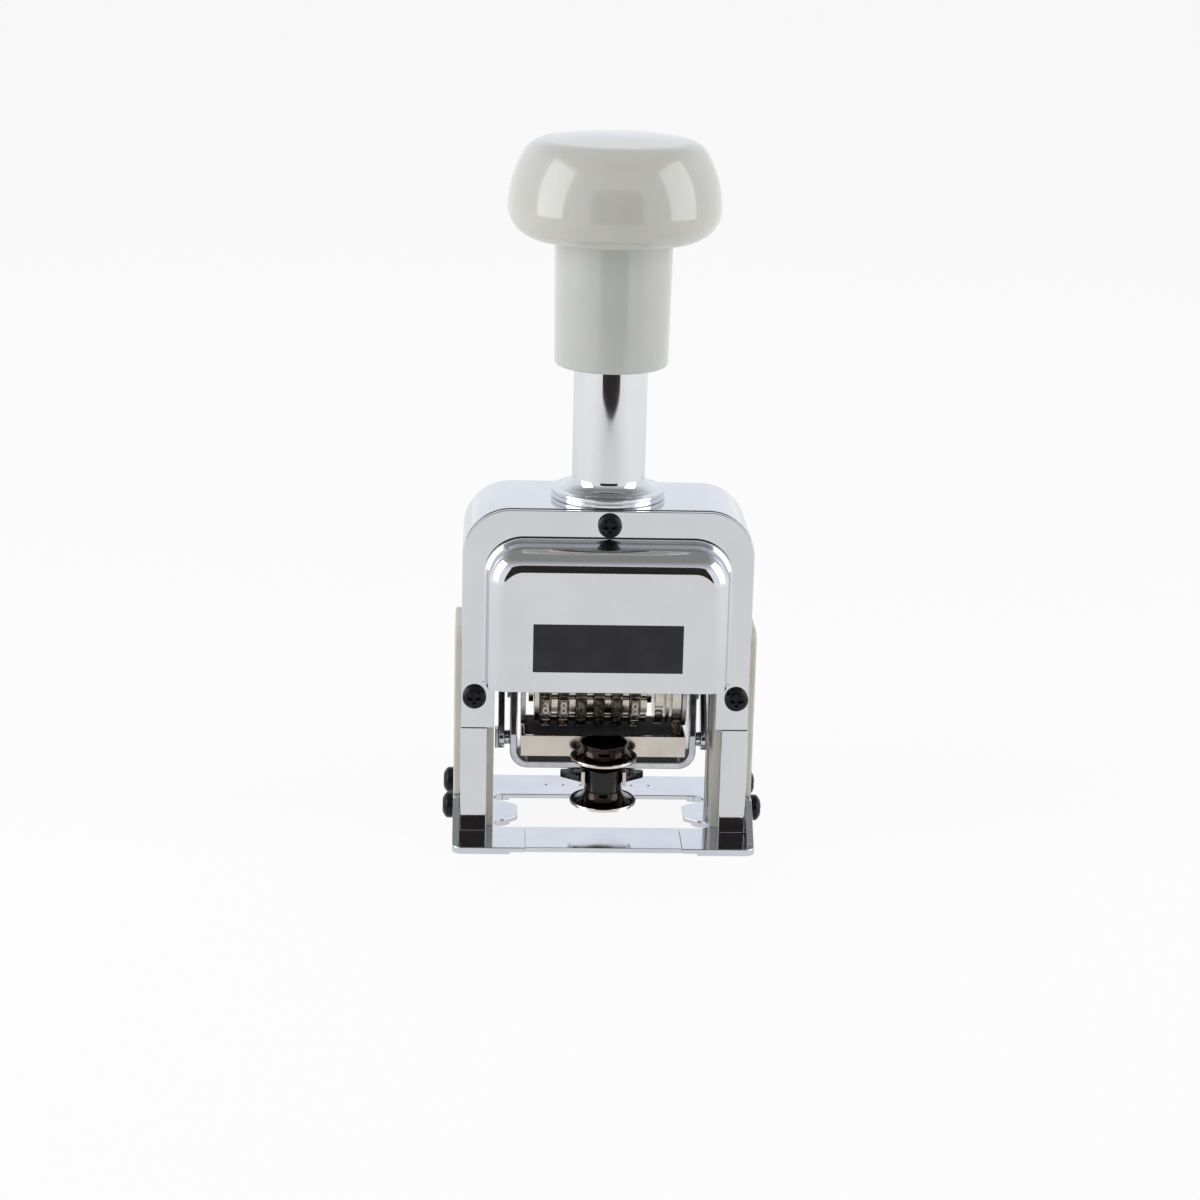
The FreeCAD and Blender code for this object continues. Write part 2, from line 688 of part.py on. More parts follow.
def guide_tube():
    """Tube with its flared foot flange, seated in the roof of the case."""
    inner = TUBE_R - TUBE_WALL
    flange_top = CASE_TOP_Z + FOOT_FLANGE_T
    fillet_top = flange_top + COLLAR_FILLET_R
    bend = COLLAR_FILLET_R * (1 - math.sqrt(0.5))
    return turned([
        line((inner, cavity_top_z), (TUBE_R, cavity_top_z)),
        line((TUBE_R, cavity_top_z), (TUBE_R, CASE_TOP_Z)),
        line((TUBE_R, CASE_TOP_Z), (FOOT_FLANGE_R, CASE_TOP_Z)),
        line((FOOT_FLANGE_R, CASE_TOP_Z), (FOOT_FLANGE_R, flange_top)),
        line((FOOT_FLANGE_R, flange_top), (COLLAR_R, flange_top)),
        arc((COLLAR_R, flange_top), (TUBE_R + bend, flange_top + bend), (TUBE_R, fillet_top)),
        line((TUBE_R, fillet_top), (TUBE_R, TUBE_TOP_Z)),
        line((TUBE_R, TUBE_TOP_Z), (inner, TUBE_TOP_Z)),
        line((inner, TUBE_TOP_Z), (inner, cavity_top_z)),
    ])


def rod_bush():
    """Bush in the foot of the tube that guides the push rod."""
    outer, inner = TUBE_R - TUBE_WALL, ROD_R + ROD_CLEARANCE
    return turned(closed_profile([
        (inner, cavity_top_z), (outer, cavity_top_z), (outer, BUSH_TOP_Z), (inner, BUSH_TOP_Z),
    ]))


def knob():
    """Mushroom knob with a domed crown and a bore that clears the tube."""
    crown_z = KNOB_TOP_Z - KNOB_CROWN_DROP
    dome_r = (KNOB_CROWN_R ** 2 + KNOB_CROWN_DROP ** 2) / (2 * KNOB_CROWN_DROP)
    half_r = KNOB_CROWN_R / 2
    half_z = KNOB_TOP_Z - dome_r + math.sqrt(dome_r ** 2 - half_r ** 2)
    shoulder_z = KNOB_TOP_Z - KNOB_SHOULDER_DROP
    bore = TUBE_R + HANDLE_BORE_GAP
    crown = turned([
        line((0, KNOB_FOOT_Z), (SLEEVE_TOP_R, KNOB_FOOT_Z)),
        line((SLEEVE_TOP_R, KNOB_FOOT_Z), (KNOB_FOOT_R, KNOB_FOOT_Z)),
        bowed((KNOB_FOOT_R, KNOB_FOOT_Z), (KNOB_R, KNOB_WIDEST_Z), KNOB_SKIRT_BOW),
        bowed((KNOB_R, KNOB_WIDEST_Z), (KNOB_SHOULDER_R, shoulder_z), KNOB_SIDE_BOW),
        bowed((KNOB_SHOULDER_R, shoulder_z), (KNOB_CROWN_R, crown_z), KNOB_SHOULDER_BOW),
        arc((KNOB_CROWN_R, crown_z), (half_r, half_z), (0, KNOB_TOP_Z)),
        line((0, KNOB_TOP_Z), (0, KNOB_FOOT_Z)),
    ])
    crown = crown.cut(rod(bore, (0, 0, KNOB_FOOT_Z - PAST), (0, 0, HANDLE_BORE_TOP_Z)))
    return crown.cut(rod(ROD_R, (0, 0, HANDLE_BORE_TOP_Z - PAST), (0, 0, ROD_TOP_Z)))


def handle_sleeve():
    """Sleeve below the knob that slides over the tube, wide at its mouth to clear the collar."""
    bore = TUBE_R + HANDLE_BORE_GAP
    mouth_top = SLEEVE_FOOT_Z + SLEEVE_MOUTH_DEPTH
    rounding = SLEEVE_FOOT_ROUND
    bend = rounding * (1 - math.sqrt(0.5))
    return turned([
        line((SLEEVE_MOUTH_R, SLEEVE_FOOT_Z), (SLEEVE_FOOT_R - rounding, SLEEVE_FOOT_Z)),
        arc((SLEEVE_FOOT_R - rounding, SLEEVE_FOOT_Z), (SLEEVE_FOOT_R - bend, SLEEVE_FOOT_Z + bend),
            (SLEEVE_FOOT_R, SLEEVE_FOOT_Z + rounding)),
        line((SLEEVE_FOOT_R, SLEEVE_FOOT_Z + rounding), (SLEEVE_TOP_R, KNOB_FOOT_Z)),
        line((SLEEVE_TOP_R, KNOB_FOOT_Z), (bore, KNOB_FOOT_Z)),
        line((bore, KNOB_FOOT_Z), (bore, mouth_top + SLEEVE_MOUTH_R - bore)),
        line((bore, mouth_top + SLEEVE_MOUTH_R - bore), (SLEEVE_MOUTH_R, mouth_top)),
        line((SLEEVE_MOUTH_R, mouth_top), (SLEEVE_MOUTH_R, SLEEVE_FOOT_Z)),
    ])


def push_rod():
    """Rod from the knob to the carriage, shouldered on the carriage roof."""
    foot_z = frame_top_z - FRAME_TOP_T - ROD_NUT_H
    shank = rod(ROD_R, (0, 0, frame_top_z), (0, 0, ROD_TOP_Z))
    return shank.fuse(rod(ROD_THREAD_R, (0, 0, foot_z), (0, 0, frame_top_z)))


def rod_nut():
    """Nut under the carriage roof."""
    nut = hexagon_nut(ROD_NUT_ACROSS, ROD_NUT_H, ROD_THREAD_R, (0, 0, 0))
    return aimed(nut, V(0, 1, 0), 90, (0, 0, frame_top_z - FRAME_TOP_T))


def carriage_frame():
    """Folded frame: a roof and two cheeks that carry the axle."""
    outer = slab("XZ", [
        (-frame_outer_x, AXLE_Z - FRAME_EYE_R, 0), (frame_outer_x, AXLE_Z - FRAME_EYE_R, 0),
        (frame_outer_x, frame_top_z, FRAME_BEND_R), (-frame_outer_x, frame_top_z, FRAME_BEND_R),
    ], -FRAME_EYE_R, FRAME_EYE_R)
    inner_top = frame_top_z - FRAME_TOP_T
    hollow = box((-frame_inner_x, -FRAME_EYE_R - PAST, 0), (frame_inner_x, FRAME_EYE_R + PAST, inner_top))
    side_view = box((-frame_outer_x, -FRAME_HALF_D, AXLE_Z), (frame_outer_x, FRAME_HALF_D, frame_top_z))
    eye = rod(FRAME_EYE_R, (-frame_outer_x, 0, AXLE_Z), (frame_outer_x, 0, AXLE_Z))
    frame = outer.cut(hollow).common(side_view.fuse(eye))
    frame = frame.cut(rod(AXLE_R, (-frame_outer_x - PAST, 0, AXLE_Z), (frame_outer_x + PAST, 0, AXLE_Z)))
    return frame.cut(rod(ROD_THREAD_R, (0, 0, inner_top - PAST), (0, 0, frame_top_z + PAST)))


def guide_shoes():
    """Plastic shoe on each cheek that slides on the rail."""
    outer_x = rail_inner_x - SHOE_GAP
    shoe = box((frame_outer_x, -SHOE_HALF_D, SHOE_Z - SHOE_H), (outer_x, SHOE_HALF_D, SHOE_Z))
    shoe = shoe.makeFillet(SHOE_ROUND, [e for e in shoe.Edges if e.CenterOfMass.x > outer_x - 0.01])
    return [shoe, mirrored(shoe)]


def wheel_axle():
    """Axle through the cheeks, the wheels and the yoke."""
    return rod(AXLE_R, (-axle_half_w, 0, AXLE_Z), (axle_half_w, 0, AXLE_Z))


def axle_clips():
    """Clip outside each arm of the yoke."""
    clips = []
    for side in (-1, 1):
        inner_x = side * (yoke_outer_x + SLIDE_GAP)
        outer_x = side * (yoke_outer_x + SLIDE_GAP + CLIP_T)
        clip = rod(CLIP_R, (inner_x, 0, AXLE_Z), (outer_x, 0, AXLE_Z))
        clips.append(clip.cut(rod(AXLE_R, (inner_x - side, 0, AXLE_Z), (outer_x + side, 0, AXLE_Z))))
    return clips


def ratchet_x(index):
    """Middle of a wheel's ratchet."""
    return first_wheel_x + index * WHEEL_PITCH + WHEEL_W / 2 + RATCHET_W / 2


def detent_comb():
    """Cross bar over the wheels with a leaf finger above each ratchet."""
    bar_z = AXLE_Z + DETENT_BAR_Z
    half_d = DETENT_BAR_HALF_D
    comb = box((-frame_inner_x, -half_d, bar_z), (frame_inner_x, half_d, bar_z + DETENT_BAR_H))
    tip_z = AXLE_Z + RATCHET_R + FINGER_GAP
    for i in range(WHEELS):
        x = ratchet_x(i)
        half_w, half_t = FINGER_W / 2, FINGER_T / 2
        comb = comb.fuse(box((x - half_w, -half_t, tip_z), (x + half_w, half_t, bar_z)))
    return comb.removeSplitter()


def number_wheel(index):
    """Ten-sided wheel with a raised type face on each side, and its ratchet."""
    middle_x = first_wheel_x + index * WHEEL_PITCH
    low_x, high_x = middle_x - WHEEL_W / 2, middle_x + WHEEL_W / 2
    corner_r = WHEEL_FLAT_R / math.cos(math.pi / WHEEL_FACES)
    corners = []
    for i in range(WHEEL_FACES):
        angle = 2 * math.pi * (i + 0.5) / WHEEL_FACES - math.pi / 2
        corners.append((corner_r * math.cos(angle), AXLE_Z + corner_r * math.sin(angle), 0))
    wheel = slab("YZ", corners, low_x, high_x)
    face = box((middle_x - TYPE_W / 2, -TYPE_HALF_H, AXLE_Z - TYPE_TOP_R),
               (middle_x + TYPE_W / 2, TYPE_HALF_H, AXLE_Z - WHEEL_FLAT_R + TYPE_ROOT))
    ratchet_end = high_x + RATCHET_W
    ratchet = rod(RATCHET_R, (high_x, 0, AXLE_Z), (ratchet_end, 0, AXLE_Z))
    for i in range(WHEEL_FACES):
        turn = 360.0 * i / WHEEL_FACES
        one_face = face.copy()
        one_face.rotate(V(0, 0, AXLE_Z), V(1, 0, 0), turn)
        wheel = wheel.fuse(one_face)
        edge = math.radians(turn + 180.0 / WHEEL_FACES)
        y, z = RATCHET_R * math.sin(edge), AXLE_Z + RATCHET_R * math.cos(edge)
        ratchet = ratchet.cut(rod(RATCHET_NOTCH_R, (high_x, y, z), (ratchet_end + PAST, y, z)))
    bore = AXLE_R + AXLE_CLEARANCE
    wheel = wheel.fuse(ratchet).cut(rod(bore, (low_x - PAST, 0, AXLE_Z), (ratchet_end + PAST, 0, AXLE_Z)))
    return wheel.removeSplitter()


def repeat_dial():
    """Notched disc that sets how often a number repeats."""
    dial = rod(DIAL_R, (dial_x, 0, AXLE_Z), (dial_x + DIAL_W, 0, AXLE_Z))
    for i in range(DIAL_NOTCHES):
        angle = 2 * math.pi * (i + 0.5) / DIAL_NOTCHES
        y, z = DIAL_R * math.sin(angle), AXLE_Z + DIAL_R * math.cos(angle)
        dial = dial.cut(rod(RATCHET_NOTCH_R, (dial_x - PAST, y, z), (dial_x + DIAL_W + PAST, y, z)))
    bore = AXLE_R + AXLE_CLEARANCE
    return dial.cut(rod(bore, (dial_x - PAST, 0, AXLE_Z), (dial_x + DIAL_W + PAST, 0, AXLE_Z)))


def end_discs():
    """Cam disc and end collar fixed on the axle."""
    discs = []
    for low_x, width in ((cam_disc_x, CAM_DISC_W), (end_collar_x, END_COLLAR_W)):
        disc = rod(COLLAR_DISC_R, (low_x, 0, AXLE_Z), (low_x + width, 0, AXLE_Z))
        discs.append(disc.cut(rod(AXLE_R, (low_x - PAST, 0, AXLE_Z), (low_x + width + PAST, 0, AXLE_Z))))
    return discs


def feed_rocker():
    """Two arms on the axle that carry a cross bar with a pawl for each ratchet, lifted clear of the type."""
    rest = math.radians(ROCKER_REST_DEG)
    bar_y = ROCKER_BAR_REACH * math.cos(rest)
    bar_z = AXLE_Z + ROCKER_BAR_REACH * math.sin(rest)
    right_end = rocker_right_x + ROCKER_T
    rocker = rod(ROCKER_BAR_R, (rocker_left_x, bar_y, bar_z), (right_end, bar_y, bar_z))
    for low_x in (rocker_left_x, rocker_right_x):
        high_x = low_x + ROCKER_T
        hub = rod(ROCKER_HUB_R, (low_x, 0, AXLE_Z), (high_x, 0, AXLE_Z))
        low_z, high_z = AXLE_Z - ROCKER_ARM_HALF_H, AXLE_Z + ROCKER_ARM_HALF_H
        arm = box((low_x, 0, low_z), (high_x, ROCKER_BAR_REACH, high_z))
        arm.rotate(V(0, 0, AXLE_Z), V(1, 0, 0), ROCKER_REST_DEG)
        bore = rod(AXLE_R + AXLE_CLEARANCE, (low_x - PAST, 0, AXLE_Z), (high_x + PAST, 0, AXLE_Z))
        rocker = rocker.fuse(hub.fuse(arm).cut(bore))
    tip = math.hypot(TYPE_TOP_R, TYPE_HALF_H) + PAWL_GAP
    for i in range(WHEELS):
        x = ratchet_x(i)
        half_w = FINGER_W / 2
        pawl = box((x - half_w, tip, AXLE_Z - half_w), (x + half_w, ROCKER_BAR_REACH, AXLE_Z + half_w))
        pawl.rotate(V(0, 0, AXLE_Z), V(1, 0, 0), ROCKER_REST_DEG)
        rocker = rocker.fuse(pawl)
    return rocker.removeSplitter()


def ink_yoke():
    """Folded strap: a web under the tray and an arm up each side to the axle."""
    top_z = AXLE_Z + YOKE_EYE_R
    outer = slab("XZ", [
        (-yoke_outer_x, YOKE_FOOT_Z, YOKE_BEND_R), (yoke_outer_x, YOKE_FOOT_Z, YOKE_BEND_R),
        (yoke_outer_x, top_z, 0), (-yoke_outer_x, top_z, 0),
    ], -YOKE_FRONT_Y, YOKE_FRONT_Y)
    hollow = slab("XZ", [
        (-yoke_inner_x, yoke_top_z, yoke_inner_r), (yoke_inner_x, yoke_top_z, yoke_inner_r),
        (yoke_inner_x, top_z + PAST, 0), (-yoke_inner_x, top_z + PAST, 0),
    ], -YOKE_FRONT_Y - PAST, YOKE_FRONT_Y + PAST)
    shoulder_z = yoke_top_z + YOKE_SHOULDER_H
    side_view = slab("YZ", [
        (-YOKE_FRONT_Y, YOKE_FOOT_Z, 0), (YOKE_BACK_Y, YOKE_FOOT_Z, 0),
        (YOKE_BACK_Y, shoulder_z, YOKE_SHOULDER_R), (YOKE_EYE_R, AXLE_Z, 0),
        (-YOKE_EYE_R, AXLE_Z, 0), (-YOKE_FRONT_Y, shoulder_z, YOKE_SHOULDER_R),
    ], -yoke_outer_x, yoke_outer_x)
    side_view = side_view.fuse(rod(YOKE_EYE_R, (-yoke_outer_x, 0, AXLE_Z), (yoke_outer_x, 0, AXLE_Z)))
    yoke = outer.cut(hollow).common(side_view)
    bore = AXLE_R + AXLE_CLEARANCE
    yoke = yoke.cut(rod(bore, (-yoke_outer_x - PAST, 0, AXLE_Z), (yoke_outer_x + PAST, 0, AXLE_Z)))
    ear_foot = LEVER_PIVOT_Z - LEVER_EAR_HALF_D
    for low_x in (LEVER_EAR_X, -LEVER_EAR_X - LEVER_EAR_T):
        high_x = low_x + LEVER_EAR_T
        ear = slab("YZ", [
            (-LEVER_EAR_HALF_D, ear_foot, LEVER_EAR_R), (LEVER_EAR_HALF_D, ear_foot, LEVER_EAR_R),
            (LEVER_EAR_HALF_D, YOKE_FOOT_Z, 0), (-LEVER_EAR_HALF_D, YOKE_FOOT_Z, 0),
        ], low_x, high_x)
        hole = rod(LEVER_PIN_R, (low_x - PAST, 0, LEVER_PIVOT_Z), (high_x + PAST, 0, LEVER_PIVOT_Z))
        yoke = yoke.fuse(ear.cut(hole))
    return yoke.removeSplitter()


def cam_link():
    """Right-hand link outside the yoke, from its stud up to the roller."""
    foot = V(0, LINK_FOOT_Y, AXLE_Z - LINK_FOOT_DROP)
    eye = V(0, ROLLER_OFFSET, AXLE_Z)
    way = (eye - foot).normalize()
    across = V(0, -way.z, way.y)
    corners = [foot + across * LINK_FOOT_R, foot - across * LINK_FOOT_R, eye - across * LINK_EYE_R,
               eye + across * LINK_EYE_R]
    link = slab("YZ", [(c.y, c.z, 0) for c in corners], link_inner_x, link_outer_x)
    for centre, radius in ((foot, LINK_FOOT_R), (eye, LINK_EYE_R)):
        link = link.fuse(rod(radius, (link_inner_x, centre.y, centre.z), (link_outer_x, centre.y, centre.z)))
    return link.removeSplitter()


def link_studs():
    """Stud between each arm and its link, with a nut outside."""
    y, z = LINK_FOOT_Y, AXLE_Z - LINK_FOOT_DROP
    stud = rod(STUD_R, (yoke_outer_x, y, z), (link_inner_x, y, z))
    nut = hexagon_nut(LINK_NUT_ACROSS, LINK_NUT_H, LINK_PIN_R, (link_outer_x, y, z))
    pin = rod(LINK_PIN_R, (link_outer_x, y, z), (link_outer_x + LINK_NUT_H, y, z))
    nut = nut.fuse(pin).removeSplitter()
    return [stud, nut, mirrored(stud), mirrored(nut)]


def cam_rollers():
    """Roller on each link that runs in the track of the rail."""
    end_x = rail_inner_x + TRACK_DEPTH - ROLLER_END_GAP
    roller = rod(ROLLER_R, (link_outer_x, ROLLER_OFFSET, AXLE_Z), (end_x, ROLLER_OFFSET, AXLE_Z))
    return [roller, mirrored(roller)]


def tray_runner():
    """Black runner on the web that the tray slides on."""
    half_w = yoke_inner_x - yoke_inner_r
    return box((-half_w, -YOKE_FRONT_Y, yoke_top_z), (half_w, YOKE_BACK_Y, yoke_top_z + RUNNER_T))


def bell(throat_r, throat_z, rim_z, back_y):
    """Flared finger piece: a sheet swept from a round throat out to a wide rim."""
    inner_r, top_z = throat_r - BELL_T, rim_z + BELL_T
    shape = turned([
        bowed((throat_r, throat_z), (BELL_RIM_R, top_z), BELL_BOW),
        line((BELL_RIM_R, top_z), (BELL_RIM_R, rim_z)),
        bowed((BELL_RIM_R, rim_z), (inner_r, throat_z), -BELL_BOW),
        line((inner_r, throat_z), (throat_r, throat_z)),
    ], BELL_CENTRE_Y)
    reach = BELL_RIM_R + PAST
    keep = box((-reach, BELL_CENTRE_Y - reach, rim_z - PAST), (reach, back_y, throat_z + PAST))
    return shape.common(keep)


def ink_tray():
    """Open tray for the pad, with a flared finger piece in front."""
    floor_z = tray_foot_z + TRAY_WALL
    tray = box((-tray_half_w, -TRAY_FRONT_Y, tray_foot_z), (tray_half_w, TRAY_BACK_Y, TRAY_TOP_Z))
    inner_x = tray_half_w - TRAY_WALL
    inner_front, inner_back = -TRAY_FRONT_Y + TRAY_WALL, TRAY_BACK_Y - TRAY_WALL
    pocket = box((-inner_x, inner_front, floor_z), (inner_x, inner_back, TRAY_TOP_Z + PAST))
    cap = rod(BELL_THROAT_R, (0, BELL_CENTRE_Y, TRAY_TOP_Z - BELL_T), (0, BELL_CENTRE_Y, TRAY_TOP_Z))
    cap = cap.common(box((-BELL_THROAT_R, -BASE_D, 0), (BELL_THROAT_R, -TRAY_FRONT_Y, TRAY_TOP_Z)))
    finger = bell(BELL_THROAT_R, TRAY_TOP_Z, TRAY_BELL_RIM_Z, -TRAY_FRONT_Y).fuse(cap)
    return tray.cut(pocket).fuse(finger).removeSplitter()


def ink_pad():
    """Felt pad that stands in the tray under the wheels."""
    floor_z = tray_foot_z + TRAY_WALL
    front_y, back_y = -TRAY_FRONT_Y + TRAY_WALL + SLIDE_GAP, TRAY_BACK_Y - TRAY_WALL - SLIDE_GAP
    return box((-PAD_LEFT_X, front_y, floor_z), (PAD_RIGHT_X, back_y, pad_top_z))


def release_lever():
    """Black lever under the yoke: hub, winged arm, neck and flared finger piece."""
    hub_half_w = LEVER_EAR_X - 2 * SLIDE_GAP
    low_z, high_z = LEVER_PIVOT_Z - LEVER_ARM_T / 2, LEVER_PIVOT_Z + LEVER_ARM_T / 2
    hub = rod(LEVER_HUB_R, (-hub_half_w, 0, LEVER_PIVOT_Z), (hub_half_w, 0, LEVER_PIVOT_Z))
    arm = box((-LEVER_NECK_R, BELL_CENTRE_Y, low_z), (LEVER_NECK_R, 0, high_z))
    root_y = BELL_CENTRE_Y + LEVER_NECK_R - LEVER_WING_INSET
    tip_y, back_y = root_y + LEVER_WING_SWEEP, root_y + LEVER_WING_SWEEP + LEVER_WING_T
    root_x, tip_x, tip_r = LEVER_NECK_R + LEVER_WING_ROOT, LEVER_WING_HALF_W, LEVER_WING_T / 2
    wings = slab("XY", [
        (-tip_x, tip_y, tip_r), (-root_x, root_y, tip_r), (root_x, root_y, tip_r),
        (tip_x, tip_y, tip_r), (tip_x, back_y, tip_r), (-tip_x, back_y, tip_r),
    ], low_z, high_z)
    neck = rod(LEVER_NECK_R, (0, BELL_CENTRE_Y, low_z), (0, BELL_CENTRE_Y, LEVER_NECK_TOP_Z))
    finger = bell(LEVER_NECK_R, LEVER_BELL_THROAT_Z, LEVER_BELL_RIM_Z, BELL_CENTRE_Y + BELL_RIM_R)
    lever = hub.fuse(arm).fuse(wings).fuse(neck).fuse(finger)
    bore = LEVER_PIN_R + AXLE_CLEARANCE
    reach = hub_half_w + PAST
    lever = lever.cut(rod(bore, (-reach, 0, LEVER_PIVOT_Z), (reach, 0, LEVER_PIVOT_Z)))
    return lever.removeSplitter()


def lever_brackets():
    """Nickel strip up each side of the lever's neck."""
    low_x = LEVER_NECK_R + SLIDE_GAP
    foot_z = LEVER_PIVOT_Z + LEVER_ARM_T / 2
    front_y, back_y = BELL_CENTRE_Y - BRACKET_HALF_D, BELL_CENTRE_Y + BRACKET_HALF_D
    strip = box((low_x, front_y, foot_z), (low_x + BRACKET_T, back_y, BRACKET_TOP_Z))
    return [strip, mirrored(strip)]


def lever_pin():
    """Pin of the release lever."""
    half_w = LEVER_EAR_X + LEVER_EAR_T + LEVER_PIN_END
    return rod(LEVER_PIN_R, (-half_w, 0, LEVER_PIVOT_Z), (half_w, 0, LEVER_PIVOT_Z))


def label_plate():
    """Bare black plate on the front of the cover."""
    y = -case_half_d - BULGE_D
    low, high = LABEL_Z - LABEL_H / 2, LABEL_Z + LABEL_H / 2
    return box((-LABEL_W / 2, y - LABEL_T, low), (LABEL_W / 2, y, high))


def build():
    """Make every piece and write it."""
    os.makedirs("parts", exist_ok=True)
    save("base_plate", base_plate())
    save("front_bar", front_bar())
    save("case_shell", case_shell())
    save("front_cover", front_cover())
    save("back_cover", cover_plate(False))
    save("label_plate", label_plate())
    save("front_cover_screws", *cover_screws(True))
    save("back_cover_screws", *cover_screws(False))
    save("base_screws", *base_screws())
    save("guide_rail_right", guide_rail())
    save("guide_rail_left", mirrored(guide_rail()))
    save("side_panel_right", side_panel())
    save("side_panel_left", mirrored(side_panel()))
    save("guide_tube", guide_tube())
    save("rod_bush", rod_bush())
    save("return_spring", coil(SPRING_R, SPRING_WIRE, SPRING_TURNS, BUSH_TOP_Z, HANDLE_BORE_TOP_Z))
    save("knob", knob())
    save("handle_sleeve", handle_sleeve())
    save("push_rod", push_rod())
    save("rod_nut", rod_nut())
    save("carriage_frame", carriage_frame())
    save("guide_shoes", *guide_shoes())
    save("wheel_axle", wheel_axle())
    save("axle_clips", *axle_clips())
    save("detent_comb", detent_comb())
    save("end_discs", *end_discs())
    for i in range(WHEELS):
        save("number_wheel_" + str(i + 1), number_wheel(i))
    save("repeat_dial", repeat_dial())
    save("feed_rocker", feed_rocker())
    save("ink_yoke", ink_yoke())
    save("cam_link_right", cam_link())
    save("cam_link_left", mirrored(cam_link()))
    save("link_studs", *link_studs())
    save("cam_rollers", *cam_rollers())
    save("tray_runner", tray_runner())
    save("lever_pin", lever_pin())
    save("ink_tray", ink_tray())
    save("ink_pad", ink_pad())
    save("release_lever", release_lever())
    save("lever_brackets", *lever_brackets())


build()
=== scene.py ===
"""Looks of a hand numbering machine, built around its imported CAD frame.

Sizes are in millimetres while a piece is made, and in metres once it is finished. X runs across, Y from
the front (-Y) to the back, and Z up from the table.
"""

import logging
import math
from dataclasses import dataclass
from enum import Enum
from typing import Optional, Sequence

import bmesh
import bpy
from mathutils import Matrix, Vector


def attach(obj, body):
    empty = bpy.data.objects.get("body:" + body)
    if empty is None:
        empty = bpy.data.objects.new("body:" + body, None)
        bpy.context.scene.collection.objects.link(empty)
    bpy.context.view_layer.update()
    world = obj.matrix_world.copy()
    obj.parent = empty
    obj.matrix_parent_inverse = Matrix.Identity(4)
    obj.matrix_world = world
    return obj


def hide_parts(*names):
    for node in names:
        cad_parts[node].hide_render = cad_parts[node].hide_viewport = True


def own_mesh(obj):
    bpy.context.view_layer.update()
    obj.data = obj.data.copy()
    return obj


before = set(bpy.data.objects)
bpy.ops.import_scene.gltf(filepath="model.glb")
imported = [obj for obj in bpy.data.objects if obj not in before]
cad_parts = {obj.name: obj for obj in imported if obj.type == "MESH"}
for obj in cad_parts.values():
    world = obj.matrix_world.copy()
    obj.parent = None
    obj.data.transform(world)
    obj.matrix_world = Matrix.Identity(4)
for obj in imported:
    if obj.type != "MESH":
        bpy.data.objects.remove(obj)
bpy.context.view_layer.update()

MM = 0.001
# In millimetres: points nearer than MERGED become one, NEAR tells two levels apart, and SLACK is left
# beside a plane when the faces past it are picked.
MERGED = 1e-4
NEAR = 0.01
SLACK = 0.05
FLAT_DEGREES = 0.4
log = logging.getLogger("numbering_machine")

Colour = tuple[float, float, float]
Point = tuple[float, float, float]
Corner = tuple[float, float, float]


class Body(Enum):
    """The moving groups of the machine, by their names in the frame."""

    CASE = "case"
    CARRIAGE = "carriage"
    YOKE = "yoke"
    TRAY = "tray"
    LEVER = "lever"
    DIAL = "dial"


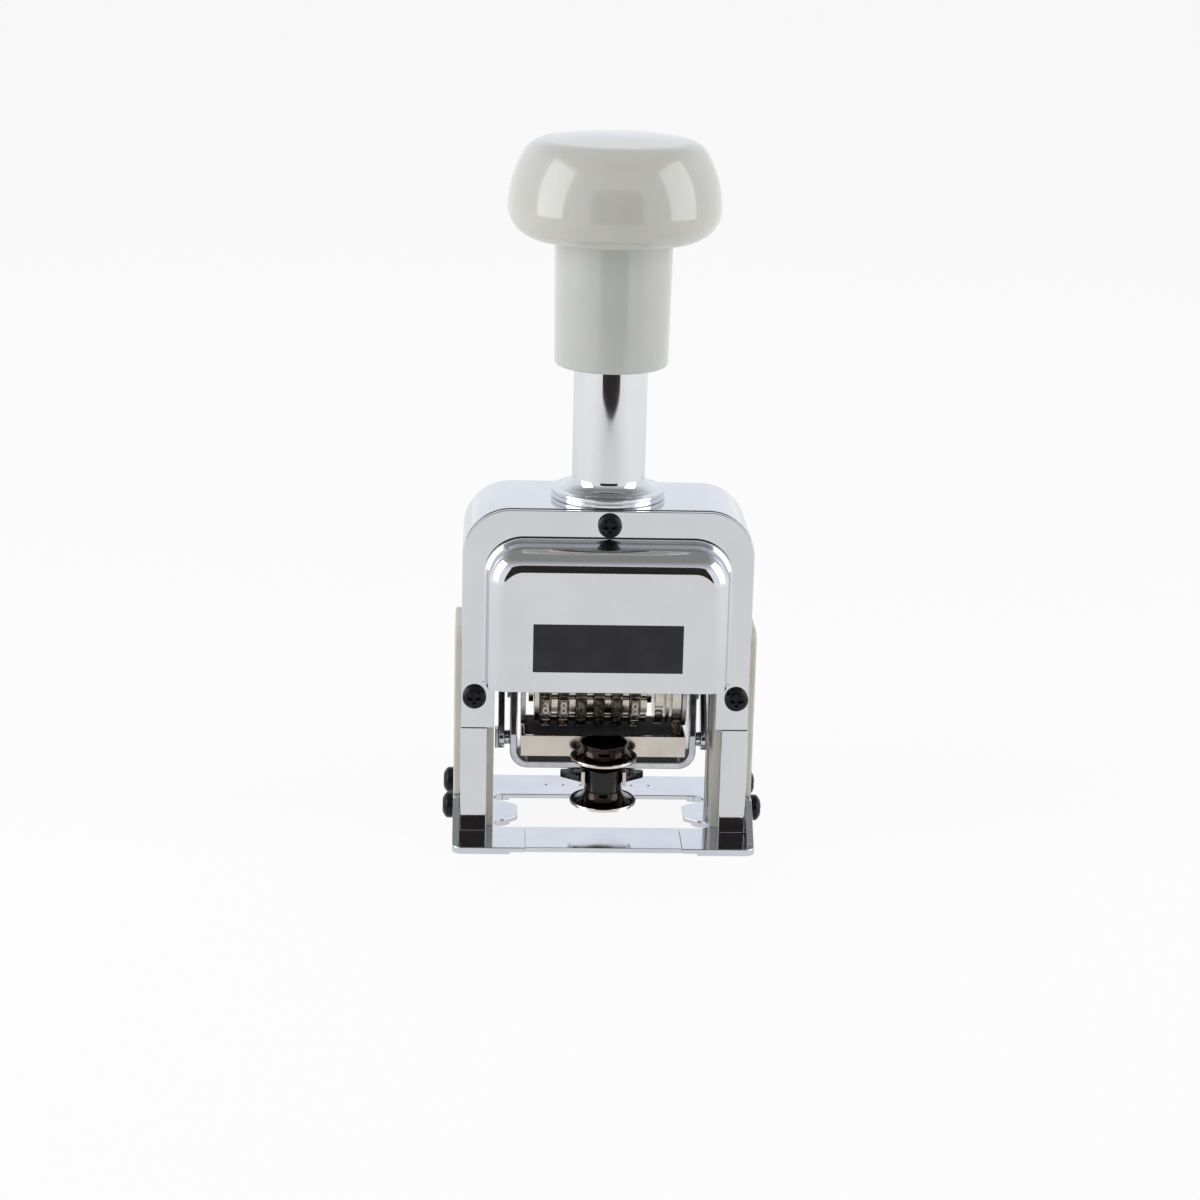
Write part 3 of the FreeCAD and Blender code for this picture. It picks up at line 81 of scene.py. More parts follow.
@dataclass(frozen=True)
class Finish:
    """One finish of the machine: two mottled colours, uneven gloss and a fine grain, at real scale."""

    name: str
    colour: Colour
    second: Colour
    metallic: float = 0.0
    gloss: tuple[float, float] = (0.2, 0.3)
    patch: float = 4.0
    patch_edge: tuple[float, float] = (0.35, 0.65)
    grain: float = 0.4
    grain_depth: float = 0.002
    wave: float = 0.0
    wave_depth: float = 0.0
    sockets: tuple[tuple[str, float], ...] = ()
    patch_detail: float = 4.0
    cloud_detail: float = 5.0
    cloud_share: float = 0.6
    cloud_edge: tuple[float, float] = (0.3, 0.7)
    grain_detail: float = 3.0
    wave_detail: float = 1.0

    def material(self) -> bpy.types.Material:
        """Make the finish as a node material, once.

        Returns:
            The material.
        """
        made = bpy.data.materials.get(self.name)
        if made is not None:
            return made
        made = bpy.data.materials.new(self.name)
        made.use_nodes = True
        tree = made.node_tree
        shader = tree.nodes["Principled BSDF"]
        shader.inputs["Metallic"].default_value = self.metallic
        for socket, value in self.sockets:
            shader.inputs[socket].default_value = value
        coords = tree.nodes.new("ShaderNodeTexCoord").outputs["Object"]

        patches = self.noise(tree, coords, self.patch, self.patch_detail)
        mask = self.ranged(tree, patches, self.patch_edge, (0.0, 1.0))
        mix = tree.nodes.new("ShaderNodeMix")
        mix.data_type = "RGBA"
        mix.inputs[6].default_value = (*self.colour, 1.0)
        mix.inputs[7].default_value = (*self.second, 1.0)
        tree.links.new(mask, mix.inputs[0])
        tree.links.new(mix.outputs[2], shader.inputs["Base Color"])

        clouds = self.noise(tree, coords, self.patch * self.cloud_share, self.cloud_detail)
        tree.links.new(self.ranged(tree, clouds, self.cloud_edge, self.gloss), shader.inputs["Roughness"])

        grain = self.noise(tree, coords, self.grain, self.grain_detail)
        bump = self.bump(tree, grain, self.grain_depth, None)
        if self.wave:
            wave = self.noise(tree, coords, self.wave, self.wave_detail)
            bump = self.bump(tree, wave, self.wave_depth, bump)
        tree.links.new(bump, shader.inputs["Normal"])
        return made

    @staticmethod
    def noise(tree: bpy.types.NodeTree, place: bpy.types.NodeSocket, size: float,
              detail: float) -> bpy.types.NodeSocket:
        """Add a noise.

        Args:
            tree: Node tree of the material.
            place: Socket with the coordinates.
            size: Size of its features in millimetres.
            detail: Number of finer layers.

        Returns:
            Its value socket.
        """
        node = tree.nodes.new("ShaderNodeTexNoise")
        node.inputs["Scale"].default_value = 1.0 / (size * MM)
        node.inputs["Detail"].default_value = detail
        tree.links.new(place, node.inputs["Vector"])
        return node.outputs[0]

    @staticmethod
    def ranged(tree: bpy.types.NodeTree, value: bpy.types.NodeSocket, low_high: tuple[float, float],
               to: tuple[float, float]) -> bpy.types.NodeSocket:
        """Add a map from one range of values to another.

        Args:
            tree: Node tree.
            value: Socket with the value.
            low_high: Range that it comes in.
            to: Range that it leaves in.

        Returns:
            Its socket.
        """
        node = tree.nodes.new("ShaderNodeMapRange")
        node.inputs["From Min"].default_value, node.inputs["From Max"].default_value = low_high
        node.inputs["To Min"].default_value, node.inputs["To Max"].default_value = to
        tree.links.new(value, node.inputs["Value"])
        return node.outputs["Result"]

    @staticmethod
    def bump(tree: bpy.types.NodeTree, height: bpy.types.NodeSocket, depth: float,
             under: Optional[bpy.types.NodeSocket]) -> bpy.types.NodeSocket:
        """Add a bump over another one.

        Args:
            tree: Node tree of the material.
            height: Socket with the height.
            depth: Depth in millimetres.
            under: Normal socket of the bump under it, if there is one.

        Returns:
            Its normal socket.
        """
        node = tree.nodes.new("ShaderNodeBump")
        node.inputs["Strength"].default_value = 1.0
        node.inputs["Distance"].default_value = depth * MM
        tree.links.new(height, node.inputs["Height"])
        if under is not None:
            tree.links.new(under, node.inputs["Normal"])
        return node.outputs["Normal"]


CASE_CHROME = Finish("case_chrome_plate", (0.70, 0.71, 0.73), (0.67, 0.68, 0.71), 1.0, (0.035, 0.07),
                     patch=14.0, grain=0.5, grain_depth=0.0002, wave=9.0, wave_depth=0.012)
BASE_CHROME = Finish("base_chrome_plate", (0.68, 0.70, 0.74), (0.62, 0.64, 0.69), 1.0, (0.05, 0.13),
                     patch=9.0, grain=0.4, grain_depth=0.0006, wave=7.0, wave_depth=0.015)
STRAP_CHROME = Finish("strap_chrome_plate", (0.62, 0.63, 0.65), (0.48, 0.49, 0.52), 1.0, (0.08, 0.22),
                      patch=3.0, grain=0.3, grain_depth=0.001, wave=4.0, wave_depth=0.01)
KNOB_PLASTIC = Finish("knob_moulding", (0.60, 0.60, 0.565), (0.575, 0.578, 0.545), 0.0, (0.09, 0.15),
                      patch=18.0, grain=0.9, grain_depth=0.0012, wave=14.0, wave_depth=0.01,
                      sockets=(("Subsurface Weight", 0.06), ("Coat Weight", 0.35), ("Coat Roughness", 0.05)))
CREAM_PLASTIC = Finish("cream_moulding", (0.66, 0.645, 0.57), (0.61, 0.595, 0.52), 0.0, (0.34, 0.48),
                       patch=11.0, grain=0.25, grain_depth=0.006)
LABEL_BLACK = Finish("label_lacquer", (0.020, 0.019, 0.024), (0.026, 0.025, 0.031), 0.0, (0.36, 0.48),
                     patch=5.0, grain=0.2, grain_depth=0.002, sockets=(("Specular IOR Level", 0.3),))
SCREW_BLACK = Finish("screw_black_oxide", (0.004, 0.004, 0.006), (0.010, 0.010, 0.013), 0.0, (0.14, 0.3),
                     patch=1.2, grain=0.2, grain_depth=0.003, sockets=(("Specular IOR Level", 0.22),))
STEEL = Finish("zinc_steel", (0.50, 0.50, 0.51), (0.38, 0.38, 0.39), 1.0, (0.22, 0.40),
               patch=2.5, grain=0.15, grain_depth=0.002)
SPRING_STEEL = Finish("drawn_steel", (0.42, 0.42, 0.43), (0.30, 0.30, 0.31), 1.0, (0.25, 0.42),
                      patch=2.0, grain=0.15, grain_depth=0.002)
BRASS = Finish("turned_brass", (0.62, 0.46, 0.18), (0.50, 0.36, 0.13), 1.0, (0.2, 0.34),
               patch=3.0, grain=0.2, grain_depth=0.002)
SHOE_PLASTIC = Finish("shoe_moulding", (0.02, 0.02, 0.021), (0.03, 0.03, 0.031), 0.0, (0.4, 0.55),
                      patch=3.0, grain=0.2, grain_depth=0.004)
TYPE_NICKEL = Finish("type_nickel", (0.60, 0.56, 0.50), (0.42, 0.37, 0.32), 1.0, (0.2, 0.38),
                     patch=1.3, patch_edge=(0.45, 0.75), grain=0.12, grain_depth=0.003)
# Darker nickel: the whole plate of the middle wheels, and painted shade in the digit recesses of the bright
# wheels.
DARKER_NICKEL_AND_RECESS_SHADE = Finish("darker_type_nickel_and_recess_shade", (0.34, 0.29, 0.245), (0.15, 0.12, 0.10), 1.0, (0.22, 0.42),
                     patch=1.0, patch_edge=(0.4, 0.65), grain=0.12, grain_depth=0.004)
# Ink-stained nickel of the wheel sides; in the digit recesses of the middle wheels it is painted shade.
INKED_NICKEL_AND_RECESS_SHADE = Finish("inked_nickel_and_recess_shade", (0.34, 0.30, 0.26), (0.07, 0.055, 0.045), 1.0, (0.25, 0.5),
                      patch=1.0, patch_edge=(0.35, 0.6), grain=0.12, grain_depth=0.004)
DISC_NICKEL = Finish("disc_nickel_plate", (0.66, 0.63, 0.57), (0.52, 0.49, 0.43), 1.0, (0.14, 0.3),
                     patch=1.6, grain=0.15, grain_depth=0.002)
TRAY_NICKEL = Finish("tray_nickel_plate", (0.66, 0.61, 0.56), (0.58, 0.53, 0.48), 1.0, (0.10, 0.2),
                     patch=6.0, grain=0.3, grain_depth=0.001, wave=6.0, wave_depth=0.01)
# Nickel of the finger pieces painted near black: a painted reflection of the dark room and the black neck
# that the plate mirrors.
FINGER_NICKEL_PAINTED_REFLECTION = Finish("finger_nickel_painted_dark_reflection", (0.050, 0.038, 0.034), (0.020, 0.014, 0.013), 1.0, (0.07, 0.14),
                      patch=3.5, grain=0.3, grain_depth=0.001, wave=5.0, wave_depth=0.01)
# Rim of the finger pieces: the plate's own nickel, painted lighter than the tray as a painted highlight along
# the edge.
RIM_NICKEL_PAINTED_HIGHLIGHT = Finish("rim_nickel_painted_highlight", (0.78, 0.72, 0.66), (0.70, 0.64, 0.58), 1.0, (0.12, 0.22),
                    patch=2.0, grain=0.2, grain_depth=0.001)
BLACK_PLASTIC = Finish("black_moulding", (0.004, 0.004, 0.005), (0.008, 0.007, 0.008), 0.0, (0.08, 0.16),
                       patch=3.0, grain=0.5, grain_depth=0.001, wave=5.0, wave_depth=0.01,
                       sockets=(("Specular IOR Level", 0.35),))
INK_FELT = Finish("inked_felt", (0.012, 0.010, 0.010), (0.022, 0.018, 0.018), 0.0, (0.75, 0.95),
                  patch=1.1, grain=0.16, grain_depth=0.06,
                  sockets=(("Sheen Weight", 0.08), ("Sheen Roughness", 0.5)))


def arc_points(start: Vector, end: Vector, bow: float, steps: int) -> list[Vector]:
    """Return the points after start up to end, on an arc or a straight line.

    Args:
        start: First point, left out of the result.
        end: Last point.
        bow: Share of the chord by which the arc stands off it, to the right when positive.
        steps: Number of points on an arc.

    Returns:
        The points in order.
    """
    if abs(bow) < 1e-6:
        return [end.copy()]
    half = 2 * math.atan(2 * bow)
    chord = end - start
    right = Vector((chord.y, -chord.x)).normalized()
    radius = chord.length / (2 * math.sin(half))
    centre = (start + end) / 2 - right * (radius * math.cos(half))
    spoke = start - centre
    return [centre + Matrix.Rotation(2 * half * i / steps, 2) @ spoke for i in range(1, steps + 1)]


class Shape:
    """A piece while it is being made, in millimetres."""

    def __init__(self) -> None:
        """Start with nothing."""
        self.bm = bmesh.new()

    @classmethod
    def of_node(cls, node: str) -> "Shape":
        """Copy a CAD node's mesh, with its points merged and its flat faces joined.

        Args:
            node: CAD node.

        Returns:
            The new shape.
        """
        shape = cls()
        shape.bm.from_mesh(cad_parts[node].data)
        bm = shape.bm
        bmesh.ops.scale(bm, vec=(1 / MM,) * 3, verts=bm.verts)
        bmesh.ops.remove_doubles(bm, verts=bm.verts, dist=MERGED)
        bmesh.ops.dissolve_limit(bm, angle_limit=math.radians(FLAT_DEGREES), verts=bm.verts, edges=bm.edges)
        return shape

    def rod(self, radius: float, start: Point, end: Point, sides: int = 64) -> "Shape":
        """Add a round bar.

        Args:
            radius: Its radius.
            start: Middle of one end.
            end: Middle of the other end.
            sides: Number of its sides.

        Returns:
            This shape.
        """
        way = Vector(end) - Vector(start)
        made = bmesh.ops.create_cone(self.bm, cap_ends=True, segments=sides, radius1=radius, radius2=radius,
                                     depth=way.length)["verts"]
        turn = Vector((0, 0, 1)).rotation_difference(way).to_matrix()
        bmesh.ops.rotate(self.bm, cent=(0, 0, 0), matrix=turn, verts=made)
        bmesh.ops.translate(self.bm, vec=(Vector(start) + Vector(end)) / 2, verts=made)
        return self

    def turned(self, track: Sequence[Corner], sides: int = 128, steps: int = 14) -> "Shape":
        """Spin a profile about the upright axis.

        Args:
            track: Profile corners (radius, height, bow of the stretch that ends there), closed if the last
                corner repeats the first.
            sides: Number of steps round.
            steps: Number of points on each arc.

        Returns:
            This shape.
        """
        points = [Vector(track[0][:2])]
        for radius, height, bow in track[1:]:
            points += arc_points(points[-1], Vector((radius, height)), bow, steps)
        closed = (points[0] - points[-1]).length < 1e-6
        if closed:
            points.pop()
        bm = bmesh.new()
        verts = [bm.verts.new((p.x, 0, p.y)) for p in points]
        edges = [bm.edges.new(pair) for pair in zip(verts, verts[1:])]
        if closed:
            edges.append(bm.edges.new((verts[-1], verts[0])))
        bmesh.ops.spin(bm, geom=verts + edges, cent=(0, 0, 0), axis=(0, 0, 1), angle=2 * math.pi,
                       steps=sides, use_merge=True, use_duplicate=False)
        bmesh.ops.remove_doubles(bm, verts=bm.verts, dist=MERGED)
        bmesh.ops.recalc_face_normals(bm, faces=bm.faces)
        return self.absorb(bm)

    def absorb(self, bm: bmesh.types.BMesh) -> "Shape":
        """Take in another bmesh.

        Args:
            bm: The other bmesh, which is freed.

        Returns:
            This shape.
        """
        passing = bpy.data.meshes.new("passing")
        bm.to_mesh(passing)
        bm.free()
        self.bm.from_mesh(passing)
        bpy.data.meshes.remove(passing)
        return self

    def soften(self, width: float, segments: int = 2, sharper_than: float = 30.0) -> "Shape":
        """Round the sharp edges.

        Args:
            width: Width of the rounding on each side.
            segments: Number of facets.
            sharper_than: Smallest angle, in degrees, of an edge that is rounded.

        Returns:
            This shape.
        """
        limit = math.radians(sharper_than)
        edges = [e for e in self.bm.edges if len(e.link_faces) == 2 and e.calc_face_angle() > limit]
        bmesh.ops.bevel(self.bm, geom=edges, offset=width, offset_type="OFFSET", affect="EDGES",
                        segments=segments, profile=0.5, material=-1, clamp_overlap=False)
        return self

    def cut(self, other: "Shape") -> "Shape":
        """Take another shape away from this one.

        Args:
            other: The other shape, which is freed.

        Returns:
            This shape.
        """
        objects = []
        for name, bm in (("whole", self.bm), ("tool", other.bm)):
            mesh = bpy.data.meshes.new(name)
            bm.to_mesh(mesh)
            bm.free()
            objects.append(bpy.data.objects.new(name, mesh))
            bpy.context.scene.collection.objects.link(objects[-1])
        whole, tool = objects
        boolean = whole.modifiers.new("cut", "BOOLEAN")
        boolean.operation, boolean.solver, boolean.object = "DIFFERENCE", "EXACT", tool
        depsgraph = bpy.context.evaluated_depsgraph_get()
        self.bm = bmesh.new()
        self.bm.from_mesh(whole.evaluated_get(depsgraph).to_mesh())
        for each in objects:
            mesh = each.data
            bpy.data.objects.remove(each)
            bpy.data.meshes.remove(mesh)
        return self

    def piece(self, name: str, body: Body, slot: str, *finishes: Finish, replaces: Sequence[str] = (),
              crease: float = 32.0, body_name: str = "") -> bpy.types.Object:
        """Finish the shape as an object in metres that rides on its body.

        Args:
            name: Name of the object.
            body: Body that it rides on.
            slot: Material slot of the record; not used.
            finishes: Its finishes, by material index.
            replaces: CAD nodes that it stands for.
            crease: Smallest angle, in degrees, that is shaded as a sharp edge.
            body_name: Body by name, for the number wheels.

        Returns:
            The object.
        """
        bmesh.ops.scale(self.bm, vec=(MM,) * 3, verts=self.bm.verts)
        mesh = bpy.data.meshes.new(name)
        self.bm.to_mesh(mesh)
        self.bm.free()
        if "custom_normal" in mesh.attributes:
            mesh.attributes.remove(mesh.attributes["custom_normal"])
        mesh.shade_smooth()
        mesh.set_sharp_from_angle(angle=math.radians(crease))
        for finish in finishes:
            mesh.materials.append(finish.material())
        made = bpy.data.objects.new(name, mesh)
        bpy.context.scene.collection.objects.link(made)
        shading = made.modifiers.new("even_shading", "WEIGHTED_NORMAL")
        shading.keep_sharp = True
        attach(made, body_name or body.value)
        if replaces:
            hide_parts(*replaces)
        log.info("%s: %d faces", name, len(mesh.polygons))
        return made


def rounded_face(bm: bmesh.types.BMesh, corners: Sequence[Corner], depth: float,
                 sides: int) -> bmesh.types.BMFace:
    """Add an upright flat face with rounded corners to an empty bmesh.

    Args:
        bm: Empty bmesh.
        corners: Corners (x, z, radius) in order.
        depth: Depth (y) of the face.
        sides: Number of facets on each rounded corner.

    Returns:
        The face.
    """
    verts = [bm.verts.new((x, depth, z)) for x, z, _ in corners]
    bm.faces.new(verts)
    for i, vert in enumerate(verts):
        radius = corners[i][2]
        if not radius:
            continue
        here = Vector(corners[i][:2])
        back = Vector(corners[i - 1][:2]) - here
        ahead = Vector(corners[(i + 1) % len(corners)][:2]) - here
        reach = radius / math.tan(back.angle(ahead) / 2)
        bmesh.ops.bevel(bm, geom=[vert], offset=reach, offset_type="OFFSET", affect="VERTICES",
                        segments=sides, profile=0.5, material=-1)
    return next(iter(bm.faces))


def refined(node: str, body: Body, slot: str, finish: Finish, width: float,
            segments: int = 2) -> bpy.types.Object:
    """Stand for a CAD node with a copy whose edges are softened.

    Args:
        node: CAD node.
        body: Body that it rides on.
        slot: Material slot of the record.
        finish: Its finish.
        width: Width of the rounding of its edges.
        segments: Number of facets of the rounding.

    Returns:
        The object.
    """
    shape = Shape.of_node(node).soften(width, segments)
    return shape.piece(node + "_finished", body, slot, finish, replaces=[node])


@dataclass
class Housing:
    """The arched case, its plates, rails, panels and screws."""

    edge: float = 0.3
    plate_edge: float = 0.2
    bar_edge: float = 0.12
    screw_edge: float = 0.12
    rail_edge: float = 0.15
    panel_edge: float = 0.12
    label_edge: float = 0.06

    def build(self) -> None:
        """Make the case and what is fixed to it."""
        refined("case_shell", Body.CASE, "case_chrome", CASE_CHROME, self.edge)
        refined("back_cover", Body.CASE, "case_chrome", CASE_CHROME, self.plate_edge)
        refined("base_plate", Body.CASE, "base_chrome", BASE_CHROME, self.plate_edge)
        refined("front_bar", Body.CASE, "base_chrome", BASE_CHROME, self.bar_edge)
        for node in ("front_cover_screws", "back_cover_screws", "base_screws"):
            refined(node, Body.CASE, "black_screw", SCREW_BLACK, self.screw_edge)
        for side in ("right", "left"):
            refined("guide_rail_" + side, Body.CASE, "cream_plastic", CREAM_PLASTIC, self.rail_edge)
            refined("side_panel_" + side, Body.CASE, "cream_plastic", CREAM_PLASTIC, self.panel_edge)
        refined("label_plate", Body.CASE, "label_black", LABEL_BLACK, self.label_edge)


@dataclass
class FrontCover:
    """Cover pressed from sheet, with its raised front open below."""

    half_w: float = 31.45
    top_z: float = 75.1
    face_y: float = -13.5
    sheet: float = 1.0
    foot_z: float = 25.8
    mouth_half_w: float = 24.3
    mouth_z: float = 36.3
    bulge_half_w: float = 27.2
    bulge_top_z: float = 69.4
    bulge_corner_r: float = 8.8
    bulge_depth: float = 7.0
    foot_r: float = 1.0
    brow_r: float = 4.4
    top_draft: float = 1.6
    edge: float = 0.16
    corner_facets: int = 20
    foot_facets: int = 5
    brow_facets: int = 10
    sharp_degrees: float = 50.0
    crease_degrees: float = 40.0

    def build(self) -> None:
        """Make the cover."""
        shape = Shape()
        bm = shape.bm
        half_w, low, top = self.bulge_half_w, self.mouth_z, self.bulge_top_z
        cap = rounded_face(bm, [
            (-half_w, low, 0), (half_w, low, 0), (half_w, top, self.bulge_corner_r),
            (-half_w, top, self.bulge_corner_r),
        ], self.face_y, self.corner_facets)
        rim = [e for e in cap.edges if max(v.co.z for v in e.verts) > low + NEAR]
        self.add_flange(bm, rim)
        cap = max(bm.faces, key=lambda f: len(f.verts))
        for inset, rise in self.steps():
            bmesh.ops.inset_region(bm, faces=[cap], thickness=inset, depth=rise, use_boundary=False,
                                   use_even_offset=True)
        for vert in bm.verts:
            depth = (self.face_y - vert.co.y) / self.bulge_depth
            height = (vert.co.z - low) / (top - low)
            if depth > 0 and height > 0.5:
                vert.co.z -= self.top_draft * depth * (2 * height - 1)
        bmesh.ops.recalc_face_normals(bm, faces=bm.faces)
        if cap.normal.y > 0:
            bmesh.ops.reverse_faces(bm, faces=bm.faces)
        bmesh.ops.solidify(bm, geom=bm.faces[:], thickness=self.sheet)
        shape.soften(self.edge, 2, self.sharp_degrees)
        shape.piece("front_cover_pressing", Body.CASE, "case_chrome", CASE_CHROME, replaces=["front_cover"],
                    crease=self.crease_degrees)

    def add_flange(self, bm: bmesh.types.BMesh, rim: list[bmesh.types.BMEdge]) -> None:
        """Add the flat band round the raised front, and the ear down each leg.

        Args:
            bm: The cover's bmesh.
            rim: Edges round the raised front, without its mouth.
        """
        outer = self.extruded(bm, rim)
        grow = ((self.half_w / self.bulge_half_w), 1,
                (self.top_z - self.mouth_z) / (self.bulge_top_z - self.mouth_z))
        bmesh.ops.scale(bm, vec=grow, verts=outer, space=Matrix.Translation((0, 0, -self.mouth_z)))
        for side in (-1, 1):
            foot = [e for e in bm.edges if len(e.link_faces) == 1
                    and all(side * v.co.x > self.bulge_half_w - NEAR for v in e.verts)
                    and all(abs(v.co.z - self.mouth_z) < NEAR for v in e.verts)]
            low = self.extruded(bm, foot)
            bmesh.ops.translate(bm, vec=(0, 0, self.foot_z - self.mouth_z), verts=low)
            inner = [e for e in bm.edges if len(e.link_faces) == 1
                     and all(abs(side * v.co.x - self.bulge_half_w) < NEAR for v in e.verts)
                     and min(v.co.z for v in e.verts) < self.mouth_z - NEAR]
            tab = self.extruded(bm, inner)
            bmesh.ops.translate(bm, vec=(side * (self.mouth_half_w - self.bulge_half_w), 0, 0), verts=tab)

    @staticmethod
    def extruded(bm: bmesh.types.BMesh, edges: list[bmesh.types.BMEdge]) -> list[bmesh.types.BMVert]:
        """Extrude edges in place and return the new vertices."""
        made = bmesh.ops.extrude_edge_only(bm, edges=edges)["geom"]
        return [g for g in made if isinstance(g, bmesh.types.BMVert)]

    def steps(self) -> list[tuple[float, float]]:
        """Work out how the raised front grows from its foot to its face.

        Returns:
            The inset and rise of each step.
        """
        places = []
        for i in range(self.foot_facets + 1):
            turn = math.pi / 2 * i / self.foot_facets
            places.append((self.foot_r * math.sin(turn), self.foot_r * (1 - math.cos(turn))))
        wall_top = self.bulge_depth - self.brow_r
        for i in range(self.brow_facets + 1):
            turn = math.pi / 2 * i / self.brow_facets
            inset = self.foot_r + self.brow_r * (1 - math.cos(turn))
            places.append((inset, wall_top + self.brow_r * math.sin(turn)))
        return [(b[0] - a[0], b[1] - a[1]) for a, b in zip(places, places[1:])]


@dataclass
class Handle:
    """Knob and sleeve on the chromed tube."""

    knob_track: tuple[Corner, ...] = (
        (0.0, 148.4, 0), (8.08, 148.4, 0), (8.08, 132.4, 0), (17.9, 132.4, 0), (18.9, 132.7, 0.1),
        (22.9, 139.2, 0.15), (19.3, 151.0, 0.07), (15.5, 153.1, 0.09), (0.0, 153.9, 0.012))
    sleeve_track: tuple[Corner, ...] = (
        (8.08, 132.4, 0), (8.08, 111.8, 0), (11.0, 108.9, 0), (11.0, 104.9, 0), (11.25, 104.65, 0.1),
        (11.6, 104.65, 0), (12.32, 105.4, 0.2), (12.72, 131.6, 0), (12.3, 132.0, -0.2), (12.3, 132.4, 0),
        (8.08, 132.4, 0))
    tube_track: tuple[Corner, ...] = (
        (6.5, 73.5, 0), (8.0, 73.5, 0), (8.0, 75.3, 0), (12.2, 75.3, 0), (12.5, 75.6, 0.2), (12.5, 76.0, 0),
        (12.3, 76.25, 0.2), (12.3, 76.35, 0), (12.5, 76.6, 0.2), (12.5, 76.95, 0), (12.25, 77.2, 0.2),
        (10.9, 77.25, 0), (10.3, 77.5, -0.1), (8.0, 79.9, -0.14), (8.0, 119.7, 0), (7.7, 120.0, 0.2),
        (6.7, 120.0, 0), (6.5, 119.8, 0.2), (6.5, 73.5, 0))

    def build(self) -> None:
        """Make the handle, the tube and the spring in it."""
        knob = Shape().turned(self.knob_track, sides=160)
        knob.piece("knob_moulding", Body.CARRIAGE, "knob_plastic", KNOB_PLASTIC, replaces=["knob"])
        sleeve = Shape().turned(self.sleeve_track)
        sleeve.piece("handle_sleeve_moulding", Body.CARRIAGE, "knob_plastic", KNOB_PLASTIC,
                     replaces=["handle_sleeve"])
        tube = Shape().turned(self.tube_track)
        tube.piece("guide_tube_turned", Body.CASE, "case_chrome", CASE_CHROME, replaces=["guide_tube"])
        spring = Shape.of_node("return_spring").piece("return_spring_wire", Body.CASE, "spring_steel",
                                                      SPRING_STEEL, replaces=["return_spring"])
        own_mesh(spring)


